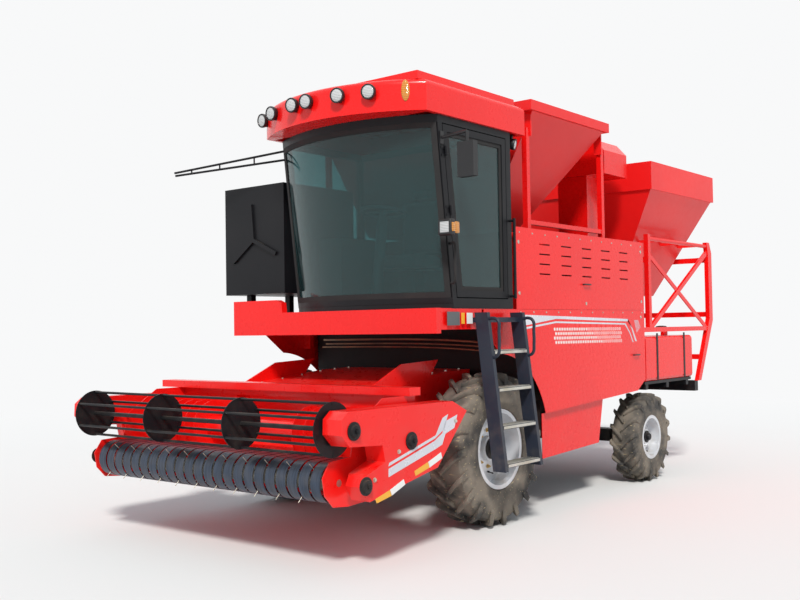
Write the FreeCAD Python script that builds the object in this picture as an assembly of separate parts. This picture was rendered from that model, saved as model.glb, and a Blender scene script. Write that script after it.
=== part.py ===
import FreeCAD, Part
import math
import os

# Self-propelled peanut pickup harvester, in millimetres.
# X points forward, Y to the machine's left and Z up. The outlines are drawn with x = 0 at the
# front axle, and every node is moved by front_axle_x on export, so that the middle of the
# machine's length stands over the origin, on the ground.

V = FreeCAD.Vector

front_axle_x = 1265.0
sheet = 4.0                       # thickness of the body's sheet metal
seat_gap = 0.3                    # gap between curved or moving faces that seat on each other
pin_gap = 0.05                    # radial clearance of a pin or shaft in its bore

# Wheels
wheelbase = 2870.0
front_tyre_radius = 632.5         # to the tips of the lugs
front_tyre_width = 378.0
front_rim_radius = 305.0
rear_tyre_radius = 460.0
rear_tyre_width = 285.0
rear_rim_radius = 203.0
tyre_outer_y = 1320.0
lug_height = 34.0
front_lug_pairs = 19
rear_lug_pairs = 16
stub_radius = 60.0
spindle_radius = 32.0

# Rear steering
kingpin_y = 940.0
kingpin_radius = 22.0
rear_beam_height = 130.0
rear_beam_depth = 140.0
yoke_plate = 25.0
yoke_gap = 5.0

# Frame
rail_y = 510.0
rail_width = 80.0
rail_bottom_z = 860.0
rail_height = 120.0
rail_front_x = -450.0
rail_rear_x = -4220.0

# Body
side_y = 1290.0                   # outer face of the side panels
body_front_x = -450.0
body_rear_x = -2750.0
body_half_width = 1200.0
body_top_z = 2430.0
engine_deck_z = 1780.0
panel_front_x = -300.0
panel_rear_x = -2785.0
panel_top_z = 2500.0
panel_split_z = 1790.0
arch_radius = 786.0
skirt_bottom_z = 465.0

# Platform and cab
platform_front_x = 900.0
platform_top_z = 1795.0
beam_bottom_z = 1600.0
cab_left_y = 1285.0
cab_right_y = -415.0
cab_rear_x = -250.0
screen_corner_x = 620.0           # the windscreen's corners, at the sill
screen_bulge = 240.0
screen_lean = 160.0               # how far the windscreen leans forward at its top
door_gap = 8.0
door_hinge_out = 12.0             # hinge axis outside the door's outer face
door_hinge_low_z = 2560.0
door_hinge_high_z = 3020.0
hinge_radius = 11.0
hinge_pin_radius = 5.0
cab_sill_z = 1880.0
cab_head_z = 3240.0
roof_bottom_z = 3300.0
roof_top_z = 3550.0
roof_overhang = 25.0
roof_corner_x = 950.0
roof_bulge = 300.0

# Header
header_pivot_x = -250.0
header_pivot_z = 1150.0
pickup_x = 1970.0
pickup_z = 609.0
pickup_radius = 142.0             # outside of the guard bands
pickup_half_width = 1250.0
band_count = 23
band_gap = 20.0
tine_reach = 190.0
tine_radius = 3.0
reel_x = 2080.0
reel_z = 980.0
reel_disc_radius = 187.0
reel_half_width = 1345.0
reel_shaft_radius = 17.0
journal_radius = 25.0             # of the pickup's and the auger's shafts in the end walls
auger_x = 1480.0
auger_z = 860.0
auger_radius = 210.0
header_wall_y = 1285.0
header_wall = 8.0
cover_inner_y = 1365.0
cover_outer_y = 1530.0

# Hoppers
hopper_pivot_y = 1200.0
hopper_pivot_z = 3380.0
bin_pivot_y = 1250.0
bin_pivot_z = 2560.0
hopper_pin_radius = 16.0
hopper_wall = 5.0
hopper_front_x = -600.0
hopper_rear_x = -2080.0
hopper_top_z = 3650.0
hopper_band_z = 3560.0
hopper_low_z = 2560.0
hopper_post_front_x = -640.0
hopper_post_rear_x = -2040.0
post_half = 25.0
bin_front_x = -3060.0
bin_rear_x = -4790.0
bin_top_z = 3400.0
bin_band_z = 3100.0
bin_low_z = 1980.0
bin_post_x = -2980.0
bin_column_x = -4600.0


def box(x0, x1, y0, y1, z0, z1):
    return Part.makeBox(x1 - x0, y1 - y0, z1 - z0, V(x0, y0, z0))


def outline(points, to_vector):
    wire = Part.makePolygon([to_vector(p) for p in points + points[:1]])
    return Part.Face(wire)


def across(points, y0, y1):
    """An outline in XZ, extruded across the machine."""
    return outline(points, lambda p: V(p[0], y0, p[1])).extrude(V(0, y1 - y0, 0))


def along(points, x0, x1):
    """An outline in YZ, extruded along the machine."""
    return outline(points, lambda p: V(x0, p[0], p[1])).extrude(V(x1 - x0, 0, 0))


def upright(points, z0, z1):
    """An outline in XY, extruded upwards."""
    return outline(points, lambda p: V(p[0], p[1], z0)).extrude(V(0, 0, z1 - z0))


def bar(start, end, radius):
    start = V(*start)
    end = V(*end)
    return Part.makeCylinder(radius, (end - start).Length, start, end - start)


def shaft_across(x, z, radius, y0, y1):
    return Part.makeCylinder(radius, y1 - y0, V(x, y0, z), V(0, 1, 0))


def turned(profile):
    """A closed (radius, y) profile turned about the Y axis."""
    face = outline(profile, lambda p: V(p[0], p[1], 0))
    return face.revolve(V(0, 0, 0), V(0, 1, 0), 360)


def fused(shapes):
    first = shapes[0]
    if len(shapes) == 1:
        return first
    return first.fuse(shapes[1:]).removeSplitter()


def mirrored(shape):
    return shape.mirror(V(0, 0, 0), V(0, 1, 0))


def square_tube(start, end, width, depth):
    """A straight rectangular bar between two points in a plane of constant y."""
    start = V(*start)
    end = V(*end)
    run = end - start
    block = Part.makeBox(run.Length, depth, width, V(0, -depth / 2, -width / 2))
    angle = math.degrees(math.atan2(run.z, run.x))
    block.rotate(V(0, 0, 0), V(0, 1, 0), -angle)
    block.translate(start)
    return block


# ---------------------------------------------------------------- wheels

def lug(radius, width, hand):
    lean = math.radians(40)
    reach = 0.47 * width
    length = reach / math.cos(lean)
    tip = math.sqrt(radius ** 2 - (length * math.sin(lean) / 2 + 12) ** 2) - 1.5
    base = radius - lug_height - 22
    profile = [(0, base), (0, tip), (0.8 * length, tip), (length, tip - 34), (length, base - 30)]
    breadth = 0.085 * radius
    block = outline(profile, lambda p: V(-breadth / 2, p[0], p[1])).extrude(V(breadth, 0, 0))
    block.rotate(V(0, 0, 0), V(0, 0, 1), math.degrees(lean))
    block.translate(V(length * math.sin(lean) / 2, 0, 0))
    if hand < 0:
        block = mirrored(block)
    return block


def tyre(radius, width, rim_radius, pairs):
    half = width / 2
    bead = 0.40 * width
    crown = radius - lug_height
    profile = [
        (rim_radius, -bead), (rim_radius + 30, -bead), (rim_radius + 50, -half),
        (crown - 90, -half), (crown - 18, -0.86 * half), (crown, -0.55 * half),
        (crown, 0.55 * half), (crown - 18, 0.86 * half), (crown - 90, half),
        (rim_radius + 50, half), (rim_radius + 30, bead), (rim_radius, bead)]
    lugs = []
    for i in range(2 * pairs):
        piece = lug(radius, width, 1 if i % 2 else -1)
        piece.rotate(V(0, 0, 0), V(0, 1, 0), i * 180.0 / pairs)
        lugs.append(piece)
    return turned(profile).fuse(lugs)


def rim(width, rim_radius, bore, disc_y):
    bead = 0.40 * width
    inside = rim_radius - 9
    hub = bore + 45
    profile = [
        (rim_radius, -bead), (rim_radius + 25, -bead), (rim_radius + 25, -bead - 12),
        (inside, -bead - 12), (inside, disc_y - 22), (0.72 * inside, disc_y),
        (hub, disc_y), (hub, disc_y - 60), (bore + pin_gap, disc_y - 60),
        (bore + pin_gap, disc_y + 55), (hub, disc_y + 55), (hub, disc_y + 12),
        (0.72 * inside, disc_y + 12), (inside, disc_y - 8),
        (inside, bead + 12), (rim_radius + 25, bead + 12), (rim_radius + 25, bead),
        (rim_radius, bead)]
    return turned(profile)


front_wheel_y = tyre_outer_y - front_tyre_width / 2
rear_wheel_y = tyre_outer_y - rear_tyre_width / 2
front_disc_y = 20.0
rear_disc_y = 10.0


def wheels():
    front_tyre = tyre(front_tyre_radius, front_tyre_width, front_rim_radius, front_lug_pairs)
    rear_tyre = tyre(rear_tyre_radius, rear_tyre_width, rear_rim_radius, rear_lug_pairs)
    front_rim = rim(front_tyre_width, front_rim_radius, stub_radius, front_disc_y)
    rear_rim = rim(rear_tyre_width, rear_rim_radius, spindle_radius, rear_disc_y)
    places = {
        "front": (V(0, front_wheel_y, front_tyre_radius), front_tyre, front_rim),
        "rear": (V(-wheelbase, rear_wheel_y, rear_tyre_radius), rear_tyre, rear_rim)}
    made = {}
    for end, (place, rubber, metal) in places.items():
        for name, shape in (("tyre", rubber), ("rim", metal)):
            left = shape.copy()
            left.translate(place)
            made["%s_%s_left" % (end, name)] = left
            made["%s_%s_right" % (end, name)] = mirrored(left)
    return made


# ---------------------------------------------------------------- frame and axles

def chassis_frame():
    rail = box(rail_rear_x, rail_front_x, rail_y - rail_width / 2, rail_y + rail_width / 2,
               rail_bottom_z, rail_bottom_z + rail_height)
    axle_top = front_tyre_radius + axle_half
    saddle = across([(rail_front_x, rail_bottom_z + rail_height),
                     (rail_front_x, rail_bottom_z - 160), (-axle_half, axle_top),
                     (axle_half, axle_top), (axle_half, axle_top + 110),
                     (rail_front_x + 130, rail_bottom_z - 15)],
                    rail_y - rail_width / 2, rail_y + rail_width / 2)
    rail = rail.fuse(saddle).removeSplitter()
    parts = [rail, mirrored(rail)]
    inner = rail_y - rail_width / 2
    for x in (-700.0, -2400.0, -3400.0):
        parts.append(box(x - 40, x + 40, -inner, inner, rail_bottom_z + 20,
                         rail_bottom_z + rail_height - 20))
    rear_bar = box(rail_rear_x - 90, rail_rear_x, -1230, 1230, rail_bottom_z,
                   rail_bottom_z + rail_height)
    parts.append(rear_bar)
    pivot_x = -wheelbase
    beam_top = rear_tyre_radius + rear_beam_height / 2
    hanger = box(pivot_x - 60, pivot_x + 60, -inner, inner, beam_top + 40,
                 rail_bottom_z)
    hanger = hanger.cut(box(pivot_x - 60, pivot_x + 60, -inner + 130, inner - 130,
                            beam_top + 110, rail_bottom_z))
    block = box(pivot_x - 60, pivot_x + 60, -110, 110, beam_top, beam_top + 40)
    tie = box(pivot_x - 60, pivot_x + 60, -inner, inner, rail_bottom_z,
              rail_bottom_z + rail_height - 20)
    parts.append(fused([hanger, block, tie]))
    return fused(parts)


axle_half = 80.0


def front_axle():
    z = front_tyre_radius
    parts = [box(-axle_half, axle_half, -760, 760, z - axle_half, z + axle_half)]
    parts.append(shaft_across(0, z, 165, -190, 190))
    for side in (1, -1):
        inner, outer = sorted((side * 700, side * 905))
        parts.append(shaft_across(0, z, 130, inner, outer))
        inner, outer = sorted((side * 905, side * (front_wheel_y + front_disc_y + 50)))
        parts.append(shaft_across(0, z, stub_radius, inner, outer))
    return fused(parts)


def rear_axle():
    z = rear_tyre_radius
    half_height = rear_beam_height / 2
    eye = 45.0
    beam = box(-wheelbase - rear_beam_depth / 2, -wheelbase + rear_beam_depth / 2,
               -kingpin_y + 85, kingpin_y - 85, z - half_height, z + half_height)
    parts = [beam]
    for side in (1, -1):
        inner, outer = sorted((side * (kingpin_y - 85), side * kingpin_y))
        parts.append(box(-wheelbase - eye, -wheelbase + eye, inner, outer,
                         z - half_height, z + half_height))
        parts.append(Part.makeCylinder(eye, rear_beam_height,
                                       V(-wheelbase, side * kingpin_y, z - half_height)))
    shape = fused(parts)
    for side in (1, -1):
        bore = Part.makeCylinder(kingpin_radius + pin_gap, rear_beam_height + 20,
                                 V(-wheelbase, side * kingpin_y, z - half_height - 10))
        shape = shape.cut(bore)
    return shape


def knuckle_left():
    z = rear_tyre_radius
    low = z - rear_beam_height / 2 - yoke_gap
    high = z + rear_beam_height / 2 + yoke_gap
    x0 = -wheelbase - 50
    x1 = -wheelbase + 50
    web_y = kingpin_y + 62
    parts = []
    for z0 in (low - yoke_plate, high):
        parts.append(box(x0, x1, kingpin_y, web_y, z0, z0 + yoke_plate))
        parts.append(Part.makeCylinder(50, yoke_plate, V(-wheelbase, kingpin_y, z0)))
    parts.append(box(x0, x1, web_y, web_y + 26, low - yoke_plate, high + yoke_plate))
    parts.append(Part.makeCylinder(kingpin_radius, high - low + 2 * yoke_plate,
                                   V(-wheelbase, kingpin_y, low - yoke_plate)))
    parts.append(shaft_across(-wheelbase, z, spindle_radius, web_y,
                              rear_wheel_y + rear_disc_y + 50))
    return fused(parts)


# ---------------------------------------------------------------- body

def wheel_arch(radius, y0, y1):
    return shaft_across(0, front_tyre_radius, radius, y0, y1)


def threshing_body():
    deck_x = -1400.0
    floor = rail_bottom_z + rail_height
    upper = across([(body_front_x, floor), (body_front_x, engine_deck_z),
                    (deck_x, engine_deck_z), (deck_x, body_top_z),
                    (body_rear_x, body_top_z), (body_rear_x, floor)],
                   -body_half_width, body_half_width)
    shoe = across([(-760, 640), (-760, floor), (-2300, floor), (-2300, 760), (-1900, 600)],
                  -(rail_y - rail_width / 2) + 5, rail_y - rail_width / 2 - 5)
    shape = upper
    for side in (1, -1):
        y0, y1 = sorted((side * 900, side * 1300))
        shape = shape.cut(wheel_arch(arch_radius - 26, y0, y1))
        y0, y1 = sorted((side * 560, side * 1300))
        side_bin = across([(-800, 640), (-800, floor), (-1790, floor), (-1790, 560)],
                          *sorted((side * 560, side * 1200)))
        shape = shape.fuse(side_bin)
    return shape.fuse(shoe).removeSplitter()


def engine():
    return fused([box(-1300, -520, -1100, -420, engine_deck_z, engine_deck_z + 480),
                  box(-1220, -620, -960, -560, engine_deck_z + 480, engine_deck_z + 590)])


def side_frames():
    """Upright side strips that hold the panels off the body."""
    parts = []
    for x, low in ((panel_front_x - 60, 1450.0), (-1450.0, 1000.0), (panel_rear_x + 40, 1080.0)):
        parts.append(box(x - 25, x + 25, body_half_width, side_y - sheet, low, panel_top_z - 60))
    return parts


def upper_panel_left():
    shape = box(panel_rear_x, panel_front_x, side_y - sheet, side_y, panel_split_z + 2, panel_top_z)
    pitch = 388.0
    for i in range(5):
        for j in range(4):
            x = -690.0 - i * pitch
            z = 2375.0 - j * 88.0
            shape = shape.cut(box(x - 185, x, side_y - 10, side_y + 5, z - 12, z))
    return shape


def lower_panel_left():
    front = 200.0
    shape = across([(front, panel_split_z), (front, beam_bottom_z), (-200, 1300), (-740, 700),
                    (-740, 867), (-2600, 962), (panel_rear_x, 1070), (panel_rear_x, panel_split_z)],
                   side_y - sheet, side_y)
    return shape.cut(wheel_arch(arch_radius, side_y - 50, side_y + 50))


def skirt_left():
    inside = side_y - 40 - sheet
    plate = across([(-745, 867 - 3), (-745, skirt_bottom_z), (-1800, 505), (-1900, 918)],
                   inside, inside + sheet)
    brackets = [box(x - 20, x + 20, body_half_width, inside, 700, 760) for x in (-900.0, -1600.0)]
    return fused([plate] + brackets)


def fuel_tank():
    shape = box(-4060, -2850, 760, 1270, 1035, 1515)
    edges = [e for e in shape.Edges if abs(e.Vertexes[0].X - e.Vertexes[1].X) > 1000]
    shape = shape.makeFillet(45, edges)
    cap = Part.makeCylinder(38, 50, V(-3560, 1160, 1515))
    return [shape, cap]


def tank_shelf():
    """The bracket under the fuel tank, from the frame rail outwards."""
    rail_side = rail_y + rail_width / 2
    shelf = box(-4060, -2850, 745, 1250, 1005, 1035)
    arms = [box(x - 30, x + 30, rail_side, 1250, 950, 1005) for x in (-3950.0, -3420.0, -2900.0)]
    return fused([shelf] + arms)


def rear_frame():
    """Rear side frames with their crossed braces, and the members between them."""
    y0 = 1225.0
    y1 = 1275.0
    mid = (y0 + y1) / 2
    post = box(-3010, -2950, y0, y1, 1560, bin_pivot_z + 45)
    column = across([(-4560, bin_pivot_z + 45), (-4640, bin_pivot_z + 45), (-4700, 2480),
                     (-4700, 1680), (-4305, 980), (-4225, 980), (-4600, 1700), (-4600, 2450)],
                    y0, y1)
    low = box(-4500, panel_rear_x + 15, y0, y1, 1560, 1610)
    brace_up = square_tube((-2990, mid, 1590), (-4620, mid, 2500), 50, 30)
    brace_down = square_tube((-2990, mid, 2400), (-4560, mid, 1590), 50, 12)
    left = fused([post, column, low, brace_up, brace_down])
    bore = Part.makeCylinder(hopper_pin_radius + pin_gap, 80, V(bin_post_x - 40, mid, bin_pivot_z),
                             V(1, 0, 0))
    socket = Part.makeCylinder(hopper_pin_radius + pin_gap, 75,
                               V(bin_column_x - 30, mid, bin_pivot_z), V(1, 0, 0))
    parts = [left.cut([bore, socket]), mirrored(left)]
    for x, z in ((-4650, 2400), (-4650, 1750), (-4420, 1250)):
        parts.append(box(x - 30, x + 30, -y0, y0, z - 30, z + 30))
    parts.append(box(-3010, -2950, -y0, y0, 2300, 2360))
    return fused(parts)


def rear_housing():
    """The cleaning and tailings housing under the rear bin."""
    return across([(body_rear_x, 1010), (body_rear_x, 2250), (-3150, 1950), (-3900, 1560), (-3900, 1010)],
                  -740, 740)


def elevator():
    leg = box(-2700, -2320, 560, 900, body_top_z, 3200)
    hood = along([(560, 3200), (560, 3480), (640, 3560), (1010, 3560), (1120, 3440), (1120, 3200)],
                 -2800, -2290)
    return fused([leg, hood])


# ---------------------------------------------------------------- platform and cab

def platform():
    deck = box(-300, 840, -940, 1270, platform_top_z - 20, platform_top_z)
    fascia = along([(-950, beam_bottom_z), (-950, 1905), (-400, 1905), (-340, 1880),
                    (-330, platform_top_z), (1330, platform_top_z), (1330, beam_bottom_z)],
                   platform_front_x - 60, platform_front_x)
    side = box(260, 840, 1270, 1310, beam_bottom_z + 28, platform_top_z - 5)
    parts = [deck, fascia, side]
    for y in (870.0, -870.0):
        parts.append(box(body_front_x, 840, y - 35, y + 35, 1640, platform_top_z - 20))
    for x in (-200.0, 400.0):
        parts.append(box(x - 30, x + 30, -835, 835, 1680, platform_top_z - 20))
    return fused(parts)


def screen_arc(z, inset):
    """The windscreen's arc in plan at height z, as (right, bulge, left) points."""
    lean = screen_lean * (z - cab_sill_z) / (cab_head_z - cab_sill_z)
    x = screen_corner_x + lean
    middle = (cab_left_y + cab_right_y) / 2
    return (V(x - inset, cab_right_y + inset, z), V(x + screen_bulge - inset, middle, z),
            V(x - inset, cab_left_y - inset, z))


def bow(z0, z1, outer, inner):
    """A curved band that follows the windscreen between two heights."""
    wires = []
    for z in (z0, z1):
        a, b, c = screen_arc(z, outer)
        d, e, f = screen_arc(z, inner)
        wires.append(Part.Wire([Part.Arc(a, b, c).toShape(), Part.makeLine(c, f),
                                Part.Arc(f, e, d).toShape(), Part.makeLine(d, a)]))
    return Part.makeLoft(wires, True, True)


def cab_outline(z, inset, rear):
    a, b, c = screen_arc(z, inset)
    p = V(rear, c.y, z)
    q = V(rear, a.y, z)
    return Part.Wire([Part.Arc(a, b, c).toShape(), Part.makeLine(c, p), Part.makeLine(p, q),
                      Part.makeLine(q, a)])


pillar = 55.0


def leaning_post(side):
    """A front corner pillar that leans with the windscreen."""
    wires = []
    for z in (cab_sill_z - 45, cab_head_z + 45):
        right, _, left = screen_arc(z, 0)
        corner = left if side > 0 else right
        y0, y1 = sorted((corner.y, corner.y - side * pillar))
        wires.append(Part.makePolygon([V(corner.x - pillar, y0, z), V(corner.x, y0, z),
                                       V(corner.x, y1, z), V(corner.x - pillar, y1, z),
                                       V(corner.x - pillar, y0, z)]))
    return Part.makeLoft(wires, True, True)


def cab_frame():
    floor_z = platform_top_z
    floor = Part.Face(cab_outline(floor_z, 0, cab_rear_x)).extrude(V(0, 0, 40))
    parts = [floor]
    parts.append(bow(floor_z + 40, cab_sill_z, 0, 45))
    parts.append(bow(cab_head_z, roof_bottom_z, 0, 45))
    parts.append(leaning_post(1))
    parts.append(leaning_post(-1))
    ring_z0 = cab_head_z
    for y0 in (cab_left_y - pillar, cab_right_y):
        parts.append(box(cab_rear_x, cab_rear_x + 70, y0, y0 + pillar, floor_z + 40, roof_bottom_z))
        right, _, left = screen_arc(ring_z0, 0)
        parts.append(box(cab_rear_x, left.x, y0, y0 + pillar, ring_z0, roof_bottom_z))
        parts.append(box(cab_rear_x, screen_corner_x - pillar, y0, y0 + pillar,
                         floor_z + 40, cab_sill_z - 5))
    parts.append(box(cab_rear_x, cab_rear_x + 40, cab_right_y, cab_left_y, floor_z + 40, 2450))
    parts.append(box(cab_rear_x, cab_rear_x + 40, cab_right_y, cab_left_y, ring_z0, roof_bottom_z))
    return fused(parts)


def windscreen():
    return bow(cab_sill_z, cab_head_z, 6, 12).cut([leaning_post(1), leaning_post(-1)])


def cab_side_glass():
    right, _, _ = screen_arc(cab_sill_z, 0)
    top, _, _ = screen_arc(cab_head_z, 0)
    y0 = cab_right_y + 20
    side = across([(cab_rear_x + 70, cab_sill_z - 5), (cab_rear_x + 70, cab_head_z),
                   (top.x - pillar, cab_head_z), (right.x - pillar - 1, cab_sill_z - 5)],
                  y0, y0 + 6)
    rear = box(cab_rear_x + 17, cab_rear_x + 23, cab_right_y + pillar, cab_left_y - pillar,
               2450, cab_head_z)
    return [side, rear]


def cab_roof():
    z0 = roof_bottom_z
    middle = (cab_left_y + cab_right_y) / 2
    left = cab_left_y + roof_overhang
    right = cab_right_y - roof_overhang
    a = V(roof_corner_x, right, z0)
    b = V(roof_corner_x + roof_bulge, middle, z0)
    c = V(roof_corner_x, left, z0)
    p = V(-450, left, z0)
    q = V(-450, right, z0)
    rim_wire = Part.Wire([Part.Arc(a, b, c).toShape(), Part.makeLine(c, p), Part.makeLine(p, q),
                          Part.makeLine(q, a)])
    shell = Part.Face(rim_wire).extrude(V(0, 0, roof_top_z - z0))
    top_edges = [e for e in shell.Edges if e.BoundBox.ZMin > roof_top_z - 1]
    shell = shell.makeFillet(50, top_edges)
    hollow = box(-400, 900, right + 40, left - 40, z0, roof_top_z - 60)
    cap = box(-380, 980, 500, left - 60, roof_top_z - 5, roof_top_z + 60)
    return shell.cut(hollow).fuse(cap).removeSplitter()


def door_geometry():
    top, low = screen_arc(cab_head_z, 0)[2], screen_arc(cab_sill_z, 0)[2]
    gap = door_gap
    return [(cab_rear_x + 70 + gap, cab_sill_z - 5 + gap), (cab_rear_x + 70 + gap, cab_head_z - gap),
            (top.x - pillar - gap, cab_head_z - gap), (low.x - pillar - gap, cab_sill_z - 5 + gap)]


def shrunk(points, by):
    (x0, z0), (_, z1), (x2, _), (x3, _) = points
    return [(x0 + by, z0 + by), (x0 + by, z1 - by), (x2 - by, z1 - by), (x3 - by, z0 + by)]


def hinge_place(shape, z):
    """Stands a hinge piece, drawn about Z at the origin, on the door's leaning axis."""
    lean = math.atan2(screen_lean, cab_head_z - cab_sill_z)
    shape.rotate(V(0, 0, 0), V(0, 1, 0), math.degrees(lean))
    x = screen_corner_x - pillar - door_gap + (z - cab_sill_z) * math.tan(lean)
    shape.translate(V(x, cab_left_y + door_hinge_out, z))
    return shape


def hinge_ring(z0, z1):
    ring_outer = Part.makeCylinder(hinge_radius, z1 - z0, V(0, 0, z0))
    return ring_outer.cut(Part.makeCylinder(hinge_pin_radius + pin_gap, z1 - z0, V(0, 0, z0)))


def pillar_hinges():
    made = []
    leaf_y = -door_hinge_out
    for z in (door_hinge_low_z, door_hinge_high_z):
        parts = [Part.makeCylinder(hinge_pin_radius, 80, V(0, 0, -40))]
        for z0 in (-40, 21):
            lug_piece = Part.makeCylinder(hinge_radius, 19, V(0, 0, z0))
            parts.append(lug_piece.fuse(box(0, 50, leaf_y, leaf_y + 5, z0, z0 + 19)))
        made.append(hinge_place(fused(parts), z))
    return made


def cab_door():
    points = door_geometry()
    shape = across(points, cab_left_y - 40, cab_left_y)
    shape = shape.cut(across(shrunk(points, 55), cab_left_y - 50, cab_left_y + 10))
    leaf_y = -door_hinge_out
    knuckles = []
    for z in (door_hinge_low_z, door_hinge_high_z):
        knuckle = hinge_ring(-20, 20)
        leaf = box(-60, -hinge_pin_radius - 1, leaf_y, leaf_y + 5, -20, 20)
        knuckles.append(hinge_place(knuckle.fuse(leaf), z))
    return fused([shape] + knuckles)


def door_glass():
    return across(shrunk(door_geometry(), 55), cab_left_y - 23, cab_left_y - 17)


def seat():
    z = platform_top_z + 40
    return fused([box(0, 120, 370, 500, z, z + 330), box(-130, 330, 200, 670, z + 330, z + 450),
                  box(-170, -60, 210, 660, z + 450, z + 1050)])


def steering_console():
    z = platform_top_z + 40
    column = bar((560, 435, z), (440, 435, z + 760), 45)
    wheel = Part.makeTorus(190, 14, V(432, 435, z + 800), V(-0.16, 0, 1))
    hub = bar((440, 435, z + 760), (430, 435, z + 815), 30)
    spokes = [bar((432, 435 - 185, z + 800), (432, 435 + 185, z + 800), 9)]
    side = box(-100, 420, -330, -60, z, z + 620)
    column = column.cut(box(300, 700, 300, 600, z - 80, z))
    return [fused([column, hub, wheel] + spokes), side]


def screen_box():
    x1 = 700.0
    housing = box(-230, x1, -1280, -500, 1975, 2965)
    feet = [box(x, x + 60, -1150, -1090, platform_top_z, 1975) for x in (0.0, 500.0)]
    feet.append(box(0, 60, -900, -700, platform_top_z, 1975))
    spider = []
    for angle in (95, 215, 335):
        arm = box(x1, x1 + 22, -16, 330, -18, 18)
        arm.rotate(V(x1, 0, 0), V(1, 0, 0), angle)
        arm.translate(V(0, -890, 2470))
        spider.append(arm)
    return [fused([housing] + feet), fused(spider)]


def lamps():
    made = []
    middle = (cab_left_y + cab_right_y) / 2
    half = (cab_left_y - cab_right_y) / 2 + roof_overhang
    arc_radius = (half ** 2 + roof_bulge ** 2) / (2 * roof_bulge)
    centre_x = roof_corner_x + roof_bulge - arc_radius
    for y in (-320.0, -130.0, 240.0, 620.0, 840.0):
        angle = math.asin((y - middle) / arc_radius)
        direction = V(math.cos(angle), math.sin(angle), 0)
        start = V(centre_x, middle, 3430) + direction * (arc_radius - 20)
        made.append(Part.makeCylinder(62, 80, start, direction).cut(cab_roof()))
    pad = box(640, 670, cab_left_y, cab_left_y + 14, 2370, 2430)
    stalk = bar((655, cab_left_y + 13, 2400), (800, cab_left_y + 90, 2400), 12)
    made.append(fused([pad, stalk, box(790, 870, cab_left_y + 45, cab_left_y + 145, 2345, 2455)]))
    return made


def mirror():
    pad = box(716, 758, cab_left_y, cab_left_y + 10, 3070, 3170)
    arm = bar((737, cab_left_y + 5, 3120), (730, 1525, 3140), 12)
    drop = bar((730, 1525, 3140), (730, 1525, 3060), 12)
    head = box(700, 760, 1450, 1600, 2790, 3060)
    return fused([pad, arm, drop, head])


def side_arm():
    pad = box(670, 730, cab_right_y - 10, cab_right_y, 3140, 3260)
    top = bar((700, cab_right_y - 5, 3240), (1090, -1530, 3115), 10)
    low = bar((700, cab_right_y - 5, 3160), (1080, -1530, 3090), 10)
    struts = []
    for t in (0.3, 0.6, 0.85):
        x = 700 + 385 * t
        y = cab_right_y - 1 - (1530 + cab_right_y) * t
        struts.append(bar((x, y, 3240 - 125 * t), (x, y, 3160 - 70 * t), 7))
    return fused([pad, top, low] + struts)


def handrails():
    y = cab_left_y + 50
    long_rail = fused([bar((-215, y, 1880), (-215, y, 2560), 12),
                       bar((-215, cab_left_y, 1900), (-215, y, 1900), 12),
                       bar((-215, cab_left_y, 2540), (-215, y, 2540), 12)])
    return [long_rail]


def ladder():
    top_y = 1395.0
    foot_y = 1545.0
    top_z = 1760.0
    foot_z = 510.0
    parts = []
    for x in (-160.0, 360.0):
        wires = []
        for y, z in ((foot_y, foot_z), (top_y, top_z)):
            wires.append(Part.makePolygon([V(x, y - 60, z), V(x + 40, y - 60, z),
                                           V(x + 40, y + 60, z), V(x, y + 60, z),
                                           V(x, y - 60, z)]))
        parts.append(Part.makeLoft(wires, True, True))
    for i in range(4):
        z = foot_z + 30 + i * 295
        y = foot_y + (top_y - foot_y) * (z - foot_z) / (top_z - foot_z)
        parts.append(box(-120, 360, y - 60, y + 60, z, z + 30))
    parts.append(box(-160, 400, 1310, top_y + 30, top_z - 80, top_z - 40))
    return fused(parts)


# ---------------------------------------------------------------- header

def feeder_house():
    half = 730.0
    shell = across([(1184, 640), (1184, 1148), (1120, 1148), (850, 1180), (0, 1260), (-380, 1270),
                    (-380, 955), (120, 940), (900, 700)], -half, half)
    wedge = across([(1120, 1130), (250, 1200), (100, 1370), (600, 1350)], half, half + 12)
    mouth = box(1100, 1200, -600, 600, 700, 1100)
    shell = shell.cut(mouth)
    bore = shaft_across(header_pivot_x, header_pivot_z, 35 + pin_gap, -half - 20, half + 30)
    return fused([shell, wedge, mirrored(wedge)]).cut(bore)


def header_pivot():
    """The cross shaft that carries the feeder house, and its two bearing blocks."""
    shaft = shaft_across(header_pivot_x, header_pivot_z, 35, -850, 850)
    blocks = []
    for side in (1, -1):
        y0, y1 = sorted((side * 790, side * 850))
        blocks.append(box(body_front_x, header_pivot_x + 60, y0, y1, header_pivot_z - 70,
                          header_pivot_z + 70))
    return fused([shaft] + blocks)


def header_trough():
    wall_y = header_wall_y
    skin = 6.0
    floor = across([(1760, 470), (1760, 745), (1700, 745), (1690, 640), (1480, 640),
                    (1250, 700), (1190, 900), (1190, 1150), (1184, 1150), (1184, 640),
                    (1400, 560), (1700, 462)], -wall_y, wall_y)
    mouth = box(1150, 1260, -600, 600, 700, 1100)
    beam = across([(1260, 1210), (1130, 1210), (1130, 1150), (1260, 1150)], -1520, wall_y + 60)
    parts = [floor.cut(mouth), beam]
    for y0 in (wall_y, -wall_y - header_wall):
        parts.append(across([(1130, 1150), (1130, 700), (1400, 540), (1700, 450), (1880, 440),
                             (2030, 455), (2110, 540), (2130, 660), (2060, 760), (1850, 770),
                             (1800, 960), (1500, 1150)], y0, y0 + header_wall))
    shape = fused(parts)
    for x, z in ((pickup_x, pickup_z), (auger_x, auger_z)):
        shape = shape.cut(shaft_across(x, z, journal_radius + pin_gap, -wall_y - 20, wall_y + 20))
    return shape


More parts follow.
